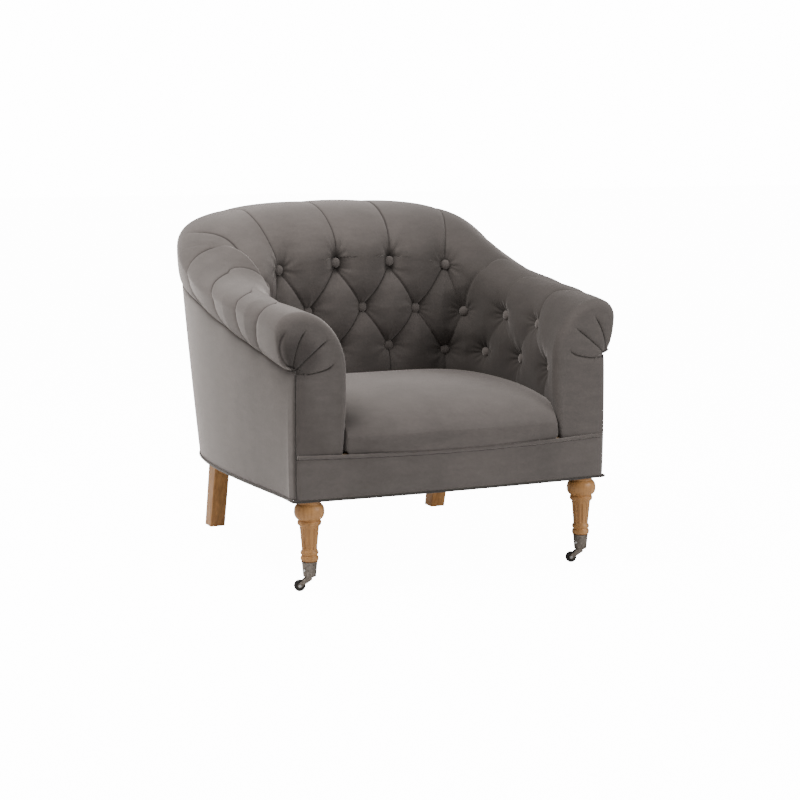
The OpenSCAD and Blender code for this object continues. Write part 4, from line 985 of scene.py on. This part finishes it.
def seat_height(x, y):
    """Height of the seat: a bull nose, a crown, and sides and back that are drawn down to the tub."""
    _, side, side_at = inner_plan
    front = np.clip(y, 0, None)
    rounded = side * (1 - np.clip((front - side_at) / (inner_back - side_at), 0, 0.9999) ** 2) ** 0.125
    u = np.clip(np.abs(x) / np.where(front < side_at, plan_side(*inner_plan, front), rounded), 0, 1)
    y = np.clip(y + nose_reach * (1 - u ** 3) * np.clip(1 - y / seat_mid, 0, None), 0, None)
    to_front = seat_edge + (seat_crown - seat_edge) * swell(y / seat_mid, 2.6)
    to_back = seat_rear + (seat_crown - seat_rear) * swell((inner_back - y) / seat_mid, 2.6)
    return seat_side(y) + (np.where(y < seat_mid, to_front, to_back) - seat_side(y)) * swell(1 - u, 3.4)


def seat_pad():
    front_t = 1 + arm_front / outside[2]
    along = np.concatenate([np.linspace(front_t, 1, 14)[:-1], np.linspace(1, -1, 260),
                            np.linspace(-1, -front_t, 14)[1:]])
    s = np.minimum(1, np.abs(along))
    start, way = outwards(along)
    past_y = arm_front - (np.abs(along) - 1) * outside[2]
    past = np.abs(along) > 1
    start[past] = np.stack([np.sign(along[past]) * plan_side(*inner_plan, past_y[past]), past_y[past]], 1)
    way[past] = np.stack([np.sign(along[past]), 0 * along[past]], 1)
    edge = seat_side(np.clip(start[:, 1], 0, None))

    def wall(z, inset):
        flat = start - way * (belly(s, z) + 0.3 + inset)[:, None]
        return np.column_stack([flat, z])

    nose_half = wall(np.full_like(along, float(seat_edge)), 0)[0][0]
    u = np.linspace(-1, 1, 122)[1:-1]
    n = 1 - np.abs(u) ** 3
    x = nose_half * u
    bow = front_bow(x) * n
    levels = []
    for f in np.linspace(0, 1, 22):
        ring = wall(seat_low + (edge - seat_low) * f, 2.5 * (1 - f) ** 4)
        nose = (nose_low - front_dip(x)) * (1 - f) + seat_edge * f
        front = np.stack([x, bow - (nose_reach * n + bow) * np.sin(np.radians(90) * f), nose], 1)
        levels.append(np.concatenate([ring, front]))
    top = levels[-1]
    centre = np.array([0, seat_mid, seat_crown])
    inwards = np.linspace(0, 1, 44)[1:]
    for q in np.concatenate([1 - inwards ** 1.9 * 0.5, np.linspace(0.5, 0.02, 44)[1:]]):
        ring = centre + (top - centre) * q
        ring[:, 2] = seat_height(ring[:, 0], ring[:, 1])
        levels.append(ring)
    rings = np.array(levels)
    m = rings.shape[1]
    flat = rings.reshape(-1, 3)
    flat[:, 2] += 1.6 * ripple(flat[:, 0], flat[:, 1], 8, 70) * ease((flat[:, 2] - 332) / 25)
    points = np.concatenate([flat, [[0, seat_mid, seat_low], centre]])
    faces = ring_skin(len(rings), m) + cone(0, m, len(points) - 2) + cone((len(rings) - 1) * m, m, len(points) - 1)
    piece = mesh_piece("seat", points, faces)
    settle(piece, "seat_cover", velvet_cloth)
    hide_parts("seat_pad")


seat_pad()


# Front border: a shallow padded band across the front rail, bowed a little forwards.
# The seat's velvet ends in the welt above it.
border_half, border_top, border_back = 377, 297.2, 7.5


def front_border():
    x = np.linspace(-border_half, border_half, 150)[:, None]
    up = np.linspace(0, 1, 40)[None]
    z = cloth_low + (border_top - front_dip(x) - cloth_low) * up
    end = 3 * np.exp(-(border_half - np.abs(x)) / 3)
    y = front_bow(x) - 2.4 * np.sin(np.pi * up) ** 0.7 + end + 0.5 * ripple(x + 0 * z, z, 31, 55)
    outer = np.stack([x + 0 * z, y, z], -1)
    # its top laps in under the seat
    under = border_back + 18 * ease((up - 0.8) / 0.15)
    inner = np.stack([x + 0 * z, under + 0 * z, z], -1)[:, ::-1]
    rings = np.concatenate([outer, inner], 1)
    piece = mesh_piece("border", rings.reshape(-1, 3), capped_skin(*rings.shape[:2]))
    settle(piece, "front_border_cover", velvet_cloth)
    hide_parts("front_border")


front_border()


# Welts: cord sewn into bias-cut velvet, over the border, round the foot and down the front corners.
# Each is a round cord with the flat seam allowance hidden behind it.
def piping(name, node, line, across, cloth, closed=False):
    sides = 20
    line = np.asarray(line, float)
    way = np.roll(line, -1, 0) - np.roll(line, 1, 0) if closed else np.gradient(line, axis=0)
    way /= np.linalg.norm(way, axis=1, keepdims=True)
    out = np.cross(way, (0, 0, 1.0))
    level = np.linalg.norm(out, axis=1, keepdims=True)
    out = np.where(level > 0.1, out / np.maximum(1e-6, level), (0, -1.0, 0))
    up = np.cross(out, way)
    run = run_along(line)
    thick = across / 2 * (1 + 0.03 * np.sin(run / 9) + 0.02 * np.sin(run / 3.7))
    points = np.concatenate([round_ring(*each, sides) for each in zip(line, out, up, thick)])
    if closed:
        last = (len(line) - 1) * sides
        faces = ring_skin(len(line), sides)
        faces += [(last + j, last + (j + 1) % sides, (j + 1) % sides, j) for j in range(sides)]
    else:
        faces = capped_skin(len(line), sides)
    piece = mesh_piece(name, points, faces)
    settle(piece, name, cloth)
    if node:
        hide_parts(node)
    return piece


x = np.linspace(-376, 376, 190)
piping("border_welt_cord", "border_welt", np.stack([x, front_bow(x) + 0.6, 301.8 - front_dip(x)], 1), 8.4, velvet_cloth)

foot_height, foot_front = 204.6, 4
foot_reach = 1 + (arm_front - foot_front) / outside[2]
around = np.linspace(foot_reach, -foot_reach, 420)
held = np.clip(around, -1, 1)
foot = tub_point(held, panel_depth(held, 0 * held + body_low) - 1.4, 0 * held + foot_height)
foot[:, 1] -= np.clip(np.abs(around) - 1, 0, None) * outside[2]
x = np.linspace(-377.5, 377.5, 160)
front = np.stack([x, front_bow(x) + 1.2, 0 * x + foot_height], 1)
# the foot welt is in the darker velvet, painted shade under the chair's edge
piping("bottom_welt_cord", "bottom_welt", np.concatenate([foot, front]), 6.4, seam_shade_cloth, closed=True)

# the corner cords are in the darker velvet, painted shade in the corner seams
corner_cords = []
for side, x, y in ((-1, 378.0, 3.0), (1, 377.0, 4.2)):
    z = np.linspace(203.5, 487, 60)
    line = np.stack([0 * z + side * x, 0 * z + y, z], 1)
    corner_cords.append(piping("corner_cord", None, line, 3.4, seam_shade_cloth))
select(*corner_cords)
bpy.ops.object.join()
corner_piece = bpy.context.object
corner_piece.name = corner_piece.data.name = "corner_welt_cords"
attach(corner_piece, "chair")
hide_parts("corner_welts")
